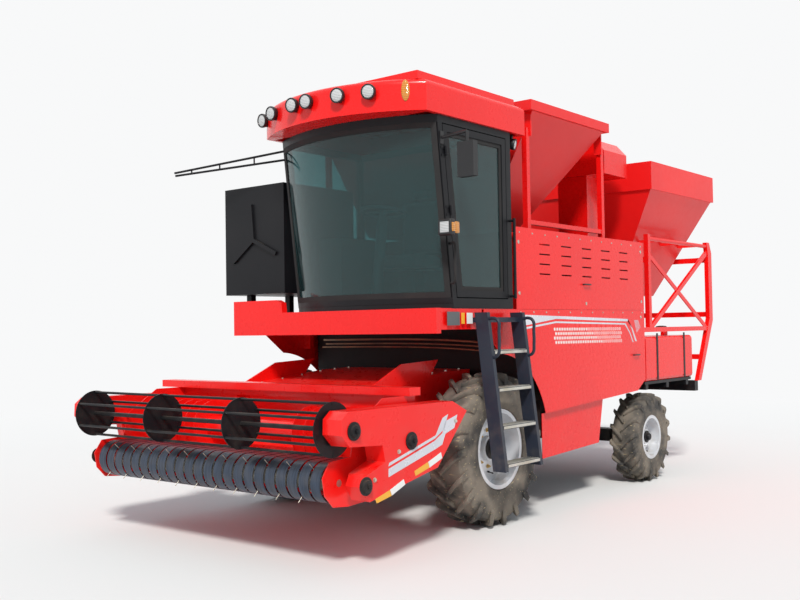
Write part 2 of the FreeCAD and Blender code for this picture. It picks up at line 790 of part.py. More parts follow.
def pickup_bands():
    pitch = (2 * pickup_half_width + band_gap) / band_count
    width = pitch - band_gap
    back = 1760.0
    made = []
    for i in range(band_count):
        y0 = -pickup_half_width + i * pitch
        wires = []
        for r in (pickup_radius, pickup_radius - 3):
            top = V(pickup_x, y0, pickup_z + r)
            low = V(pickup_x, y0, pickup_z - r)
            nose = V(pickup_x + r, y0, pickup_z)
            wires.append((top, nose, low))
        (a, b, c), (d, e, f) = wires
        rear_top = V(back, y0, a.z)
        rear_low = V(back, y0, c.z)
        wire = Part.Wire([
            Part.makeLine(rear_top, a), Part.Arc(a, b, c).toShape(), Part.makeLine(c, rear_low),
            Part.makeLine(rear_low, V(back, y0, f.z)), Part.makeLine(V(back, y0, f.z), f),
            Part.Arc(f, e, d).toShape(), Part.makeLine(d, V(back, y0, d.z)),
            Part.makeLine(V(back, y0, d.z), rear_top)])
        made.append(Part.Face(wire).extrude(V(0, width, 0)))
    return made


def pickup_tines():
    pitch = (2 * pickup_half_width + band_gap) / band_count
    core = shaft_across(pickup_x, pickup_z, 60, -pickup_half_width, pickup_half_width)
    journal = shaft_across(pickup_x, pickup_z, journal_radius,
                           -header_wall_y - header_wall, header_wall_y + header_wall)
    core = core.fuse(journal)
    tines = []
    for i in range(1, band_count):
        y = -pickup_half_width + i * pitch - band_gap / 2
        for j in range(2):
            angle = math.radians(45 + 90 * (i % 2) + 180 * j)
            tines.append(bar((pickup_x, y, pickup_z),
                             (pickup_x + tine_reach * math.cos(angle), y,
                              pickup_z + tine_reach * math.sin(angle)), tine_radius))
    return core.fuse(tines)


def reel():
    parts = [shaft_across(reel_x, reel_z, reel_shaft_radius, -cover_inner_y - 55,
                          cover_inner_y + 25)]
    spacing = 2 * reel_half_width / 3
    for i in range(4):
        y = -reel_half_width + i * spacing
        parts.append(shaft_across(reel_x, reel_z, reel_disc_radius, y - 3, y + 3))
    for i in range(6):
        angle = math.radians(90 + 60 * i)
        x = reel_x + (reel_disc_radius - 14) * math.cos(angle)
        z = reel_z + (reel_disc_radius - 14) * math.sin(angle)
        parts.append(shaft_across(x, z, 10, -reel_half_width - 6, reel_half_width + 6))
    return fused(parts)


def header_auger():
    half = header_wall_y - 20
    tube = shaft_across(auger_x, auger_z, 85, -half, half)
    tube = tube.fuse(shaft_across(auger_x, auger_z, journal_radius,
                                  -header_wall_y - header_wall, header_wall_y + header_wall))
    flights = []
    for i in range(18):
        y = 560 + 40 * i
        if y < half - 10:
            for side in (1, -1):
                y0, y1 = sorted((side * y, side * (y + 4)))
                if i % 3 == 0:
                    flights.append(shaft_across(auger_x, auger_z, auger_radius, y0, y1))
    return tube.fuse(flights)


def cover_outline():
    return [(805, 1020), (985, 1103), (2130, 1110), (2195, 1060), (2200, 960), (2120, 880),
            (1790, 860), (1765, 745), (1950, 680), (1985, 600), (1930, 500), (1177, 640)]


def cover_spacers(y0, y1):
    return [shaft_across(x, z, 20, y0, y1) for x, z in ((1250, 1000), (1650, 900), (1350, 700),
                                                        (1850, 600))]


def header_cover_left():
    wall = header_wall_y + header_wall
    shell = across(cover_outline(), cover_inner_y, cover_outer_y)
    shell = fused([shell] + cover_spacers(wall, cover_inner_y))
    return shell.cut(shaft_across(reel_x, reel_z, reel_shaft_radius + pin_gap,
                                  cover_inner_y - 5, cover_inner_y + 30))


def header_cover_right():
    wall = header_wall_y + header_wall
    shell = across(cover_outline(), -cover_outer_y + 60, -cover_inner_y - 30)
    shell = fused([shell] + cover_spacers(-cover_inner_y - 30, -wall))
    return shell.cut(shaft_across(reel_x, reel_z, reel_shaft_radius + pin_gap,
                                  -cover_inner_y - 60, -cover_inner_y - 25))


# ---------------------------------------------------------------- hoppers

def hopper_posts():
    """Posts that carry the front hopper: pinned on the left, as rests on the right."""
    parts = []
    for x in (hopper_post_front_x, hopper_post_rear_x):
        post = box(x - post_half, x + post_half, hopper_pivot_y - post_half,
                   hopper_pivot_y + post_half, body_top_z, hopper_pivot_z + 30)
        bore = Part.makeCylinder(hopper_pin_radius + pin_gap, 2 * post_half + 20,
                                 V(x - post_half - 10, hopper_pivot_y, hopper_pivot_z), V(1, 0, 0))
        rail_z = panel_top_z + 50
        parts.append(post.cut(bore))
        parts.append(box(x - post_half, x + post_half, -hopper_pivot_y - post_half,
                         -hopper_pivot_y + post_half, body_top_z, hopper_band_z - seat_gap))
    for y in (hopper_pivot_y, -hopper_pivot_y):
        parts.append(box(hopper_post_rear_x + post_half, hopper_post_front_x - post_half,
                         y - 20, y + 20, rail_z, rail_z + 40))
    return fused(parts)


def ring(x0, x1, y0, y1, z):
    return Part.makePolygon([V(x0, y0, z), V(x1, y0, z), V(x1, y1, z), V(x0, y1, z), V(x0, y0, z)])


def funnel(low, high, z0, z1, wall):
    """An open funnel between two rectangles, given as (x0, x1, half width)."""
    def loft(shrink, lift):
        rings = []
        for (x0, x1, half), z in ((low, z0 + lift), (high, z1)):
            rings.append(ring(x0 + shrink, x1 - shrink, -half + shrink, half - shrink, z))
        return Part.makeLoft(rings, True, True)
    return loft(0, 0).cut(loft(wall, wall))


def band(x0, x1, half, z0, z1, wall):
    return box(x0, x1, -half, half, z0, z1).cut(
        box(x0 + wall, x1 - wall, -half + wall, half - wall, z0, z1))


def pivot_pin(x0, x1, y, z):
    return Part.makeCylinder(hopper_pin_radius, x1 - x0, V(x0, y, z), V(1, 0, 0))


def front_hopper():
    x0 = hopper_rear_x
    x1 = hopper_front_x
    shape = funnel((-1250, -700, 700), (x0 + 70, x1 - 70, side_y - 30), hopper_low_z,
                   hopper_band_z, hopper_wall)
    rim_band = band(x0, x1, side_y, hopper_band_z, hopper_top_z, 75 + hopper_wall)
    parts = [shape, rim_band]
    for post_x, side in ((hopper_post_front_x, -1), (hopper_post_rear_x, 1)):
        near = post_x + side * (post_half + 5)
        ear_x0, ear_x1 = sorted((near, near + side * 14))
        parts.append(box(ear_x0, ear_x1, hopper_pivot_y - 40, hopper_pivot_y + 40,
                         hopper_pivot_z - 40, hopper_band_z))
        pin_x0, pin_x1 = sorted((near, post_x - side * post_half))
        parts.append(pivot_pin(pin_x0, pin_x1, hopper_pivot_y, hopper_pivot_z))
    return fused(parts)


def rear_bin():
    x0 = bin_rear_x
    x1 = bin_front_x
    shape = funnel((-4300, -3300, 700), (x0 + 40, x1 - 20, side_y - 30), bin_low_z, bin_band_z,
                   hopper_wall)
    rim_band = band(x0, x1, side_y - 10, bin_band_z, bin_top_z, 40 + hopper_wall)
    bar_front = bin_post_x - 35
    bar_rear = bin_column_x + 45
    parts = [shape, rim_band]
    rest_z = bin_pivot_z + 45 + 22 + seat_gap
    for y, z, reach in ((bin_pivot_y, bin_pivot_z, 0), (-bin_pivot_y, rest_z, 60)):
        parts.append(Part.makeCylinder(22, bar_front - bar_rear + 2 * reach,
                                       V(bar_rear - reach, y, z), V(1, 0, 0)))
        for x in (-3330.0, -3900.0, -4400.0):
            y0, y1 = sorted((math.copysign(960, y), y))
            parts.append(box(x - 5, x + 5, y0, y1, z - 15, z + 15))
    parts.append(pivot_pin(bar_front - 20, bin_post_x + 30, bin_pivot_y, bin_pivot_z))
    parts.append(pivot_pin(bin_column_x - 20, bar_rear + 20, bin_pivot_y, bin_pivot_z))
    return fused(parts)


def build():
    nodes = {}
    nodes.update(wheels())
    nodes["chassis_frame"] = [chassis_frame(), tank_shelf(), mirrored(tank_shelf())]
    nodes["front_axle"] = front_axle()
    nodes["rear_axle"] = rear_axle()
    nodes["knuckle_left"] = knuckle_left()
    nodes["knuckle_right"] = mirrored(knuckle_left())
    strips = side_frames()
    nodes["threshing_body"] = [threshing_body()]
    nodes["side_frames"] = strips + [mirrored(s) for s in strips]
    nodes["engine"] = engine()
    nodes["upper_panel_left"] = upper_panel_left()
    nodes["upper_panel_right"] = mirrored(upper_panel_left())
    nodes["lower_panel_left"] = [lower_panel_left(), skirt_left()]
    nodes["lower_panel_right"] = [mirrored(lower_panel_left()), mirrored(skirt_left())]
    nodes["fuel_tank"] = fuel_tank()
    nodes["rear_frame"] = rear_frame()
    nodes["rear_housing"] = rear_housing()
    nodes["elevator"] = elevator()
    nodes["platform"] = platform()
    nodes["cab_frame"] = cab_frame()
    nodes["windscreen"] = windscreen()
    nodes["cab_side_glass"] = cab_side_glass()
    nodes["cab_roof"] = cab_roof()
    nodes["door_hinges"] = pillar_hinges()
    nodes["cab_door"] = cab_door()
    nodes["door_glass"] = door_glass()
    nodes["seat"] = seat()
    nodes["steering_console"] = steering_console()
    nodes["screen_box"] = screen_box()
    nodes["lamps"] = lamps()
    nodes["mirror"] = mirror()
    nodes["side_arm"] = side_arm()
    nodes["handrails"] = handrails()
    nodes["ladder"] = ladder()
    nodes["header_pivot"] = header_pivot()
    nodes["feeder_house"] = feeder_house()
    nodes["header_trough"] = header_trough()
    nodes["pickup_bands"] = pickup_bands()
    nodes["header_cover_left"] = header_cover_left()
    nodes["header_cover_right"] = header_cover_right()
    nodes["pickup_tines"] = pickup_tines()
    nodes["reel"] = reel()
    nodes["header_auger"] = header_auger()
    nodes["hopper_posts"] = hopper_posts()
    nodes["front_hopper"] = front_hopper()
    nodes["rear_bin"] = rear_bin()
    return nodes


os.makedirs("parts", exist_ok=True)
for name, shape in build().items():
    if isinstance(shape, list):
        shape = Part.makeCompound(shape)
    shape.translate(V(front_axle_x, 0, 0))
    shape.exportStep("parts/%s.step" % name)
    box_of = shape.BoundBox
    print("%-20s solids %2d valid %s x %.0f %.0f y %.0f %.0f z %.0f %.0f" % (
        name, len(shape.Solids), shape.isValid(), box_of.XMin, box_of.XMax, box_of.YMin,
        box_of.YMax, box_of.ZMin, box_of.ZMax))
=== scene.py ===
import bpy
import math
from mathutils import Matrix, Quaternion, Vector


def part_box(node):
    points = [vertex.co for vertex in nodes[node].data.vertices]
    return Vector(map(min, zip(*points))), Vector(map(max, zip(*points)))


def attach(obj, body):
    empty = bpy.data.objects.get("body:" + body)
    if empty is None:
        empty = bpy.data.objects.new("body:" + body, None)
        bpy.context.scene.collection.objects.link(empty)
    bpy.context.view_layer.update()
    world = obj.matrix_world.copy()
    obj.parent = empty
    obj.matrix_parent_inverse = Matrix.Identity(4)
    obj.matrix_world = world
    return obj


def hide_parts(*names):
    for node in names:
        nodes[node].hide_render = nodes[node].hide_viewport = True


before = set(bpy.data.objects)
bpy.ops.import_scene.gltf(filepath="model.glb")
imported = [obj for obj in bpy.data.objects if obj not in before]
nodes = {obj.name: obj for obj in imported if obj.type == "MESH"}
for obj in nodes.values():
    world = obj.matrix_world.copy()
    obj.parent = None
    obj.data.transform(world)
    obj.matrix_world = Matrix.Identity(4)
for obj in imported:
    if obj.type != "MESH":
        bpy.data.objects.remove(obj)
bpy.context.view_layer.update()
print("frame loaded:", len(nodes), "nodes")


def middleOf(nodeName):
    low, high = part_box(nodeName)
    return (low + high) / 2


frontHub = middleOf("front_rim_left")
rearHub = middleOf("rear_rim_left")
axleX = frontHub.x                      # lengths along the machine count from the front axle
sides = {"left": 1, "right": -1}        # each side's name and its way across


# camera, light and floor

cameraView = {"place": (8.159, 5.83, 1.648), "heading": 0.6803, "lift": 0.02807,
              "roll": 0.0162, "lens": 44.51}


def addCamera(view):
    flat = math.cos(view["lift"])
    sight = Vector((-math.cos(view["heading"]) * flat, -math.sin(view["heading"]) * flat,
                    math.sin(view["lift"])))
    turn = sight.to_track_quat("-Z", "Y") @ Quaternion((0, 0, 1), -view["roll"])
    bpy.ops.object.camera_add(location=view["place"])
    camera = bpy.context.object
    camera.rotation_mode = "QUATERNION"
    camera.rotation_quaternion = turn
    camera.data.lens = view["lens"]
    camera.data.sensor_width = 36.0
    camera.data.clip_end = 200.0
    bpy.context.scene.camera = camera


addCamera(cameraView)

studio = {"sky": (0.80, 0.87, 0.95), "skyStrength": 0.58, "backdrop": (0.94, 0.945, 0.95),
          "sunTurn": (46, 0, 128), "sunStrength": 3.0, "sunAngle": 9,
          "sunColour": (1.0, 0.97, 0.93),
          "floorSize": 160.0, "floorColour": (0.80, 0.80, 0.79), "fadeFrom": 7.0, "fadeTo": 13.0}


def addStudio(values):
    world = bpy.data.worlds.new("studioSky")
    bpy.context.scene.world = world
    world.use_nodes = True
    tree = world.node_tree
    sky = tree.nodes["Background"]
    sky.inputs["Color"].default_value = (*values["sky"], 1)
    sky.inputs["Strength"].default_value = values["skyStrength"]
    seen = tree.nodes.new("ShaderNodeBackground")
    seen.inputs["Color"].default_value = (*values["backdrop"], 1)
    blendInto(tree, seenRays(tree), sky.outputs[0], seen.outputs[0], "World Output")
    turn = [math.radians(a) for a in values["sunTurn"]]
    bpy.ops.object.light_add(type="SUN", rotation=turn)
    sun = bpy.context.object.data
    sun.energy = values["sunStrength"]
    sun.angle = math.radians(values["sunAngle"])
    sun.color = values["sunColour"]
    bpy.ops.mesh.primitive_plane_add(size=values["floorSize"], location=(0, 0, 0))
    floor = bpy.context.object
    floor.name = "studioFloor"
    floor.data.materials.append(floorMaterial(values))


def floorMaterial(values):
    material = bpy.data.materials.new("paleFloor")
    material.use_nodes = True
    tree = material.node_tree
    shader = tree.nodes["Principled BSDF"]
    shader.inputs["Base Color"].default_value = (*values["floorColour"], 1)
    shader.inputs["Roughness"].default_value = 0.9
    far = tree.nodes.new("ShaderNodeEmission")
    far.inputs["Color"].default_value = (*values["backdrop"], 1)
    place = tree.nodes.new("ShaderNodeTexCoord")
    distance = tree.nodes.new("ShaderNodeVectorMath")
    distance.operation = "LENGTH"
    tree.links.new(place.outputs["Object"], distance.inputs[0])
    fade = tree.nodes.new("ShaderNodeMapRange")
    fade.inputs["From Min"].default_value = values["fadeFrom"]
    fade.inputs["From Max"].default_value = values["fadeTo"]
    tree.links.new(distance.outputs["Value"], fade.inputs["Value"])
    blendInto(tree, fade.outputs["Result"], shader.outputs[0], far.outputs[0], "Material Output")
    return material


def blendInto(tree, amount, first, second, end):
    mix = tree.nodes.new("ShaderNodeMixShader")
    for socket, value in zip(mix.inputs, (amount, first, second)):
        tree.links.new(value, socket)
    tree.links.new(mix.outputs[0], tree.nodes[end].inputs["Surface"])


def seenRays(tree):
    # 1 for what the camera sees, straight on or through gloss and glass
    rays = tree.nodes.new("ShaderNodeLightPath")
    total = rays.outputs["Is Camera Ray"]
    for name in ("Is Glossy Ray", "Is Transmission Ray"):
        most = tree.nodes.new("ShaderNodeMath")
        most.operation = "MAXIMUM"
        tree.links.new(total, most.inputs[0])
        tree.links.new(rays.outputs[name], most.inputs[1])
        total = most.outputs[0]
    return total


addStudio(studio)
bpy.context.scene.view_settings.view_transform = "Standard"
print("camera, light and floor placed")


# materials

def startMaterial(name, roughness, metallic=0.0):
    material = bpy.data.materials.new(name)
    material.use_nodes = True
    shader = material.node_tree.nodes["Principled BSDF"]
    shader.inputs["Roughness"].default_value = roughness
    shader.inputs["Metallic"].default_value = metallic
    return material, material.node_tree, shader


def noiseOn(tree, scale, detail=4.0, stretch=(1, 1, 1)):
    place = tree.nodes.new("ShaderNodeTexCoord")
    mapping = tree.nodes.new("ShaderNodeMapping")
    mapping.inputs["Scale"].default_value = stretch
    noise = tree.nodes.new("ShaderNodeTexNoise")
    noise.inputs["Scale"].default_value = scale
    noise.inputs["Detail"].default_value = detail
    tree.links.new(place.outputs["Object"], mapping.inputs["Vector"])
    tree.links.new(mapping.outputs["Vector"], noise.inputs["Vector"])
    return noise.outputs["Fac"]


def rangeOf(tree, value, low, high, start=0.0, end=1.0):
    node = tree.nodes.new("ShaderNodeMapRange")
    node.inputs["From Min"].default_value = low
    node.inputs["From Max"].default_value = high
    node.inputs["To Min"].default_value = start
    node.inputs["To Max"].default_value = end
    tree.links.new(value, node.inputs["Value"])
    return node.outputs["Result"]


def arithmetic(tree, operation, first, second):
    node = tree.nodes.new("ShaderNodeMath")
    node.operation = operation
    node.use_clamp = True
    for socket, value in zip(node.inputs, (first, second)):
        if isinstance(value, (int, float)):
            socket.default_value = value
        else:
            tree.links.new(value, socket)
    return node.outputs[0]


def mixColours(tree, amount, first, second):
    node = tree.nodes.new("ShaderNodeMix")
    node.data_type = "RGBA"
    tree.links.new(amount, node.inputs["Factor"])
    for socket, value in ((node.inputs[6], first), (node.inputs[7], second)):
        if isinstance(value, tuple):
            socket.default_value = (*value, 1)
        else:
            tree.links.new(value, socket)
    return node.outputs[2]


def upwardPart(tree, kind, output):
    # the Z part of a point's place or of its normal
    source = tree.nodes.new(kind)
    parts = tree.nodes.new("ShaderNodeSeparateXYZ")
    tree.links.new(source.outputs[output], parts.inputs[0])
    return parts.outputs["Z"]


def waveOn(tree, scale, distortion, direction):
    place = tree.nodes.new("ShaderNodeTexCoord")
    wave = tree.nodes.new("ShaderNodeTexWave")
    wave.bands_direction = direction
    wave.inputs["Scale"].default_value = scale
    wave.inputs["Distortion"].default_value = distortion
    tree.links.new(place.outputs["Object"], wave.inputs["Vector"])
    return wave.outputs["Fac"]


def addBump(tree, shader, value, strength, distance):
    bump = tree.nodes.new("ShaderNodeBump")
    bump.inputs["Strength"].default_value = strength
    bump.inputs["Distance"].default_value = distance
    tree.links.new(value, bump.inputs["Height"])
    tree.links.new(bump.outputs["Normal"], shader.inputs["Normal"])


dustColour = (0.33, 0.26, 0.19)


def dustOn(tree, colour, amount):
    # dust settles on faces that look up, and thicker near the ground
    flecks = rangeOf(tree, noiseOn(tree, 9.0, 8.0), 0.42, 0.68)
    facing = upwardPart(tree, "ShaderNodeNewGeometry", "Normal")
    height = upwardPart(tree, "ShaderNodeTexCoord", "Object")
    level = rangeOf(tree, facing, 0.55, 0.98, 0.0, 0.5 * amount)
    low = rangeOf(tree, height, 1.3, 0.2, 0.0, 0.4 * amount)
    spread = arithmetic(tree, "MULTIPLY", arithmetic(tree, "ADD", level, low), flecks)
    return mixColours(tree, spread, colour, dustColour)


def paint(name, colour, faded, roughness, dust=0.5, coat=0.0, metallic=0.0, gloss=0.32):
    material, tree, shader = startMaterial(name, roughness, metallic)
    cloudy = rangeOf(tree, noiseOn(tree, 1.3, 5.0), 0.35, 0.7)
    body = mixColours(tree, cloudy, colour, faded)
    tree.links.new(dustOn(tree, body, dust), shader.inputs["Base Color"])
    shader.inputs["Coat Weight"].default_value = coat
    shader.inputs["Coat Roughness"].default_value = 0.08
    shader.inputs["Specular IOR Level"].default_value = gloss
    scuffs = rangeOf(tree, noiseOn(tree, 14.0, 8.0), 0.3, 0.75, roughness, roughness + 0.09)
    tree.links.new(scuffs, shader.inputs["Roughness"])
    addBump(tree, shader, noiseOn(tree, 2.2, 2.0), 0.12, 0.02)
    return material


def rubber(name, clean, dirty, straw=True):
    material, tree, shader = startMaterial(name, 0.82)
    earth = rangeOf(tree, noiseOn(tree, 5.0, 9.0), 0.34, 0.62)
    base = mixColours(tree, earth, clean, dirty)
    if straw:
        stalks = rangeOf(tree, noiseOn(tree, 55.0, 3.0, (1, 0.22, 1)), 0.64, 0.68, 0.0, 0.8)
        base = mixColours(tree, stalks, base, (0.40, 0.32, 0.19))
    tree.links.new(base, shader.inputs["Base Color"])
    addBump(tree, shader, noiseOn(tree, 38.0, 7.0), 0.4, 0.004)
    return material


def tinted(name, colour, dusty, transmission=0.92):
    material, tree, shader = startMaterial(name, 0.0)
    film = rangeOf(tree, noiseOn(tree, 3.0, 7.0, (1, 1, 0.35)), 0.48, 0.78, 0.0, 0.35)
    tree.links.new(mixColours(tree, film, colour, dusty), shader.inputs["Base Color"])
    shader.inputs["Transmission Weight"].default_value = transmission
    shader.inputs["IOR"].default_value = 1.40
    return material


def bareMetal(name, colour, stained, roughness, stretch=(1, 12, 1), metallic=0.9):
    material, tree, shader = startMaterial(name, roughness, metallic)
    stain = rangeOf(tree, noiseOn(tree, 5.0, 8.0, stretch), 0.4, 0.7)
    tree.links.new(dustOn(tree, mixColours(tree, stain, colour, stained), 0.4),
                   shader.inputs["Base Color"])
    grain = rangeOf(tree, noiseOn(tree, 30.0, 4.0, stretch), 0.3, 0.7, roughness - 0.08,
                    roughness + 0.15)
    tree.links.new(grain, shader.inputs["Roughness"])
    addBump(tree, shader, noiseOn(tree, 40.0, 3.0, stretch), 0.12, 0.003)
    return material


def plastic(name, colour, roughness=0.5, grain=220.0, dust=0.5):
    material, tree, shader = startMaterial(name, roughness)
    worn = rangeOf(tree, noiseOn(tree, 4.0, 6.0), 0.4, 0.8, 0.0, 0.35)
    grey = tuple(0.8 * c + 0.006 for c in colour)
    tree.links.new(dustOn(tree, mixColours(tree, worn, colour, grey), dust),
                   shader.inputs["Base Color"])
    addBump(tree, shader, noiseOn(tree, grain, 2.0), 0.2, 0.001)
    return material


def ribbedLens(name, colour, waves):
    material, tree, shader = startMaterial(name, 0.06)
    ribs = waveOn(tree, waves, 0.0, "Z")
    # painted shade: the troughs between the ribs are painted darker, besides their bump
    ribPaintedShade = tuple(0.62 * c for c in colour)
    tree.links.new(mixColours(tree, ribs, ribPaintedShade, colour), shader.inputs["Base Color"])
    shader.inputs["Coat Weight"].default_value = 0.8
    shader.inputs["Coat Roughness"].default_value = 0.03
    shader.inputs["Transmission Weight"].default_value = 0.25
    addBump(tree, shader, ribs, 0.5, 0.003)
    return material


def cloth(name, colour, pale):
    material, tree, shader = startMaterial(name, 0.9)
    weave = waveOn(tree, 160.0, 2.0, "DIAGONAL")
    faded = rangeOf(tree, noiseOn(tree, 7.0, 5.0), 0.4, 0.7, 0.0, 0.6)
    threads = mixColours(tree, weave, colour, pale)
    tree.links.new(mixColours(tree, faded, threads, pale), shader.inputs["Base Color"])
    shader.inputs["Sheen Weight"].default_value = 0.3
    addBump(tree, shader, weave, 0.3, 0.001)
    return material


redPaint = paint("redPaint", (0.87, 0.006, 0.005), (0.80, 0.006, 0.006), 0.24, 0.15, 0.22)
hopperPaint = paint("hopperPaint", (0.86, 0.012, 0.011), (0.79, 0.011, 0.011), 0.32, 0.25, 0.10)
headerPaint = paint("headerPaint", (0.88, 0.008, 0.006), (0.81, 0.008, 0.007), 0.26, 0.25, 0.20)
blackPaint = paint("blackPaint", (0.0075, 0.008, 0.010), (0.013, 0.013, 0.015), 0.36, 0.35,
                   gloss=0.20)
# painted shade: the threshing body and the engine are painted near-black so that the space behind
# the panel slots and under the platform reads as shade
bodyPaintedShade = paint("bodyPaintedShade", (0.014, 0.010, 0.011), (0.024, 0.013, 0.013), 0.55, 0.4,
                  gloss=0.20)
slatePaint = paint("slatePaint", (0.018, 0.024, 0.040), (0.028, 0.035, 0.052), 0.34, 0.5, 0.1,
                   gloss=0.25)
silverPaint = paint("silverPaint", (0.72, 0.74, 0.77), (0.60, 0.62, 0.65), 0.30, 0.8, 0.2, 0.35)
stripeFoil = paint("stripeFoil", (0.74, 0.75, 0.80), (0.56, 0.57, 0.63), 0.22, 0.15, 0.3, 0.25)
tyreRubber = rubber("tyreRubber", (0.042, 0.040, 0.038), (0.20, 0.17, 0.135))
sealRubber = rubber("sealRubber", (0.008, 0.008, 0.009), (0.014, 0.013, 0.013), False)
cabGlass = tinted("cabGlass", (0.13, 0.30, 0.31), (0.19, 0.36, 0.36))
mirrorGlass = bareMetal("mirrorGlass", (0.80, 0.83, 0.86), (0.74, 0.77, 0.80), 0.10, (1, 1, 1), 1.0)
rollerSteel = bareMetal("rollerSteel", (0.075, 0.095, 0.135), (0.045, 0.055, 0.075), 0.36)
tineSteel = bareMetal("tineSteel", (0.70, 0.66, 0.56), (0.44, 0.39, 0.31), 0.38)
zincSteel = bareMetal("zincSteel", (0.66, 0.65, 0.60), (0.50, 0.46, 0.36), 0.33, (1, 1, 1))
brassNut = bareMetal("brassNut", (0.66, 0.46, 0.17), (0.46, 0.30, 0.12), 0.36, (1, 1, 1))
pipeCopper = bareMetal("pipeCopper", (0.42, 0.25, 0.15), (0.24, 0.17, 0.12), 0.42, (1, 1, 1), 0.8)
blackPlastic = plastic("blackPlastic", (0.010, 0.0105, 0.012), 0.45, 220.0, 0.3)
greyPlastic = plastic("greyPlastic", (0.11, 0.115, 0.12), 0.55, 160.0, 0.2)
whiteFoil = plastic("whiteFoil", (0.80, 0.80, 0.78), 0.35, 120.0, 0.3)
amberFoil = plastic("amberFoil", (0.86, 0.42, 0.03), 0.32, 120.0, 0.3)
clearLens = ribbedLens("clearLens", (0.82, 0.84, 0.84), 26.0)
amberLens = ribbedLens("amberLens", (0.90, 0.34, 0.02), 22.0)
redLens = ribbedLens("redLens", (0.55, 0.012, 0.012), 22.0)
seatCloth = cloth("seatCloth", (0.035, 0.040, 0.048), (0.085, 0.092, 0.10))
print("materials made")

finishes = {
    redPaint: ["upper_panel_left", "upper_panel_right", "lower_panel_left", "lower_panel_right",
               "fuel_tank", "rear_frame", "elevator", "cab_roof", "side_frames", "hopper_posts",
               "platform"],
    headerPaint: ["header_trough", "header_cover_left", "header_cover_right", "feeder_house",
                  "header_auger"],
    hopperPaint: ["front_hopper", "rear_bin", "rear_housing"],
    # painted shade: near-black on the threshing body and the engine
    bodyPaintedShade: ["threshing_body", "engine"],
    blackPaint: ["chassis_frame", "front_axle", "rear_axle",
                 "knuckle_left", "knuckle_right", "cab_frame", "cab_door", "door_hinges", "reel",
                 "header_pivot", "screen_box", "side_arm", "handrails"],
    slatePaint: ["ladder"],
    silverPaint: ["front_rim_left", "front_rim_right", "rear_rim_left", "rear_rim_right"],
    tyreRubber: ["front_tyre_left", "front_tyre_right", "rear_tyre_left", "rear_tyre_right"],
    cabGlass: ["windscreen", "cab_side_glass", "door_glass"],
    rollerSteel: ["pickup_bands"],
    tineSteel: ["pickup_tines"],
    blackPlastic: ["mirror"],
    greyPlastic: ["steering_console", "seat", "lamps"]}

for material, names in finishes.items():
    for name in names:
        for materialSlot in nodes[name].material_slots:
            materialSlot.material = material
print("frame finished in its materials")


# modelling helpers

def deselectAll():
    if bpy.context.mode != "OBJECT":
        bpy.ops.object.mode_set(mode="OBJECT")
    bpy.ops.object.select_all(action="DESELECT")


def pickOnly(piece):
    deselectAll()
    piece.select_set(True)
    bpy.context.view_layer.objects.active = piece


def openAll():
    bpy.ops.object.mode_set(mode="EDIT")
    bpy.ops.mesh.select_all(action="SELECT")


def closeUp():
    # turns every face outwards and leaves edit mode
    bpy.ops.mesh.select_all(action="SELECT")
    bpy.ops.mesh.normals_make_consistent(inside=False)
    bpy.ops.object.mode_set(mode="OBJECT")


def editOnly(piece, kind, test):
    # opens edit mode with just the faces, edges or vertices that pass the test
    pickOnly(piece)
    bpy.ops.object.mode_set(mode="EDIT")
    bpy.ops.mesh.select_mode(type=kind)
    bpy.ops.mesh.select_all(action="DESELECT")
    bpy.ops.object.mode_set(mode="OBJECT")
    parts = {"FACE": piece.data.polygons, "EDGE": piece.data.edges,
             "VERT": piece.data.vertices}[kind]
    for part in parts:
        part.select = test(part)
    bpy.ops.object.mode_set(mode="EDIT")


def block(place, size, rounding=0.004, segments=2, turn=(0, 0, 0)):
    deselectAll()
    bpy.ops.mesh.primitive_cube_add(size=1, location=place, rotation=turn)
    piece = bpy.context.object
    piece.scale = size
    bpy.ops.object.transform_apply(location=False, rotation=False, scale=True)
    openAll()
    bpy.ops.mesh.bevel(offset=rounding, segments=segments, affect="EDGES")
    bpy.ops.object.mode_set(mode="OBJECT")
    return piece


def between(low, high, rounding=0.004, segments=2):
    low, high = Vector(low), Vector(high)
    return block((low + high) / 2, high - low, rounding, segments)


def turned(rings, sides, place, along=(0, 1, 0)):
    # a round part along an axis: each ring is its radius and its height
    deselectAll()
    bpy.ops.mesh.primitive_circle_add(vertices=sides, radius=rings[0][0], fill_type="NGON",
                                      location=(0, 0, rings[0][1]))
    piece = bpy.context.object
    bpy.ops.object.transform_apply(location=True)
    openAll()
    for (radius, height), (nextRadius, nextHeight) in zip(rings, rings[1:]):
        bpy.ops.mesh.extrude_region_move(
            TRANSFORM_OT_translate={"value": (0, 0, nextHeight - height)})
        grow = nextRadius / radius
        bpy.ops.transform.resize(value=(grow, grow, 1), center_override=(0, 0, nextHeight))
    closeUp()
    piece.rotation_euler = Vector(along).to_track_quat("Z", "Y").to_euler()
    piece.location = place
    return piece


def outlinePlate(points, thickness, rounding=0.0, segments=1):
    # a flat plate from the points of its outline, pushed out by its thickness
    deselectAll()
    bpy.ops.mesh.primitive_circle_add(vertices=len(points), radius=1, fill_type="NGON")
    piece = bpy.context.object
    for vertex, point in zip(piece.data.vertices, points):
        vertex.co = point
    openAll()
    bpy.ops.mesh.extrude_region_move(TRANSFORM_OT_translate={"value": thickness})
    bpy.ops.mesh.select_all(action="SELECT")
    bpy.ops.mesh.normals_make_consistent(inside=False)
    if rounding:
        bpy.ops.mesh.bevel(offset=rounding, segments=segments, affect="EDGES")
    bpy.ops.object.mode_set(mode="OBJECT")
    return piece


def copyTo(piece, placing):
    other = piece.copy()
    other.data = piece.data.copy()
    other.matrix_basis = placing @ piece.matrix_basis
    bpy.context.scene.collection.objects.link(other)
    return other


def around(piece, count, centre, axis):
    copies = [piece]
    for index in range(1, count):
        turn = Matrix.Rotation(index * 2 * math.pi / count, 4, axis)
        copies.append(copyTo(piece, Matrix.Translation(centre) @ turn
                             @ Matrix.Translation(-Vector(centre))))
    return copies


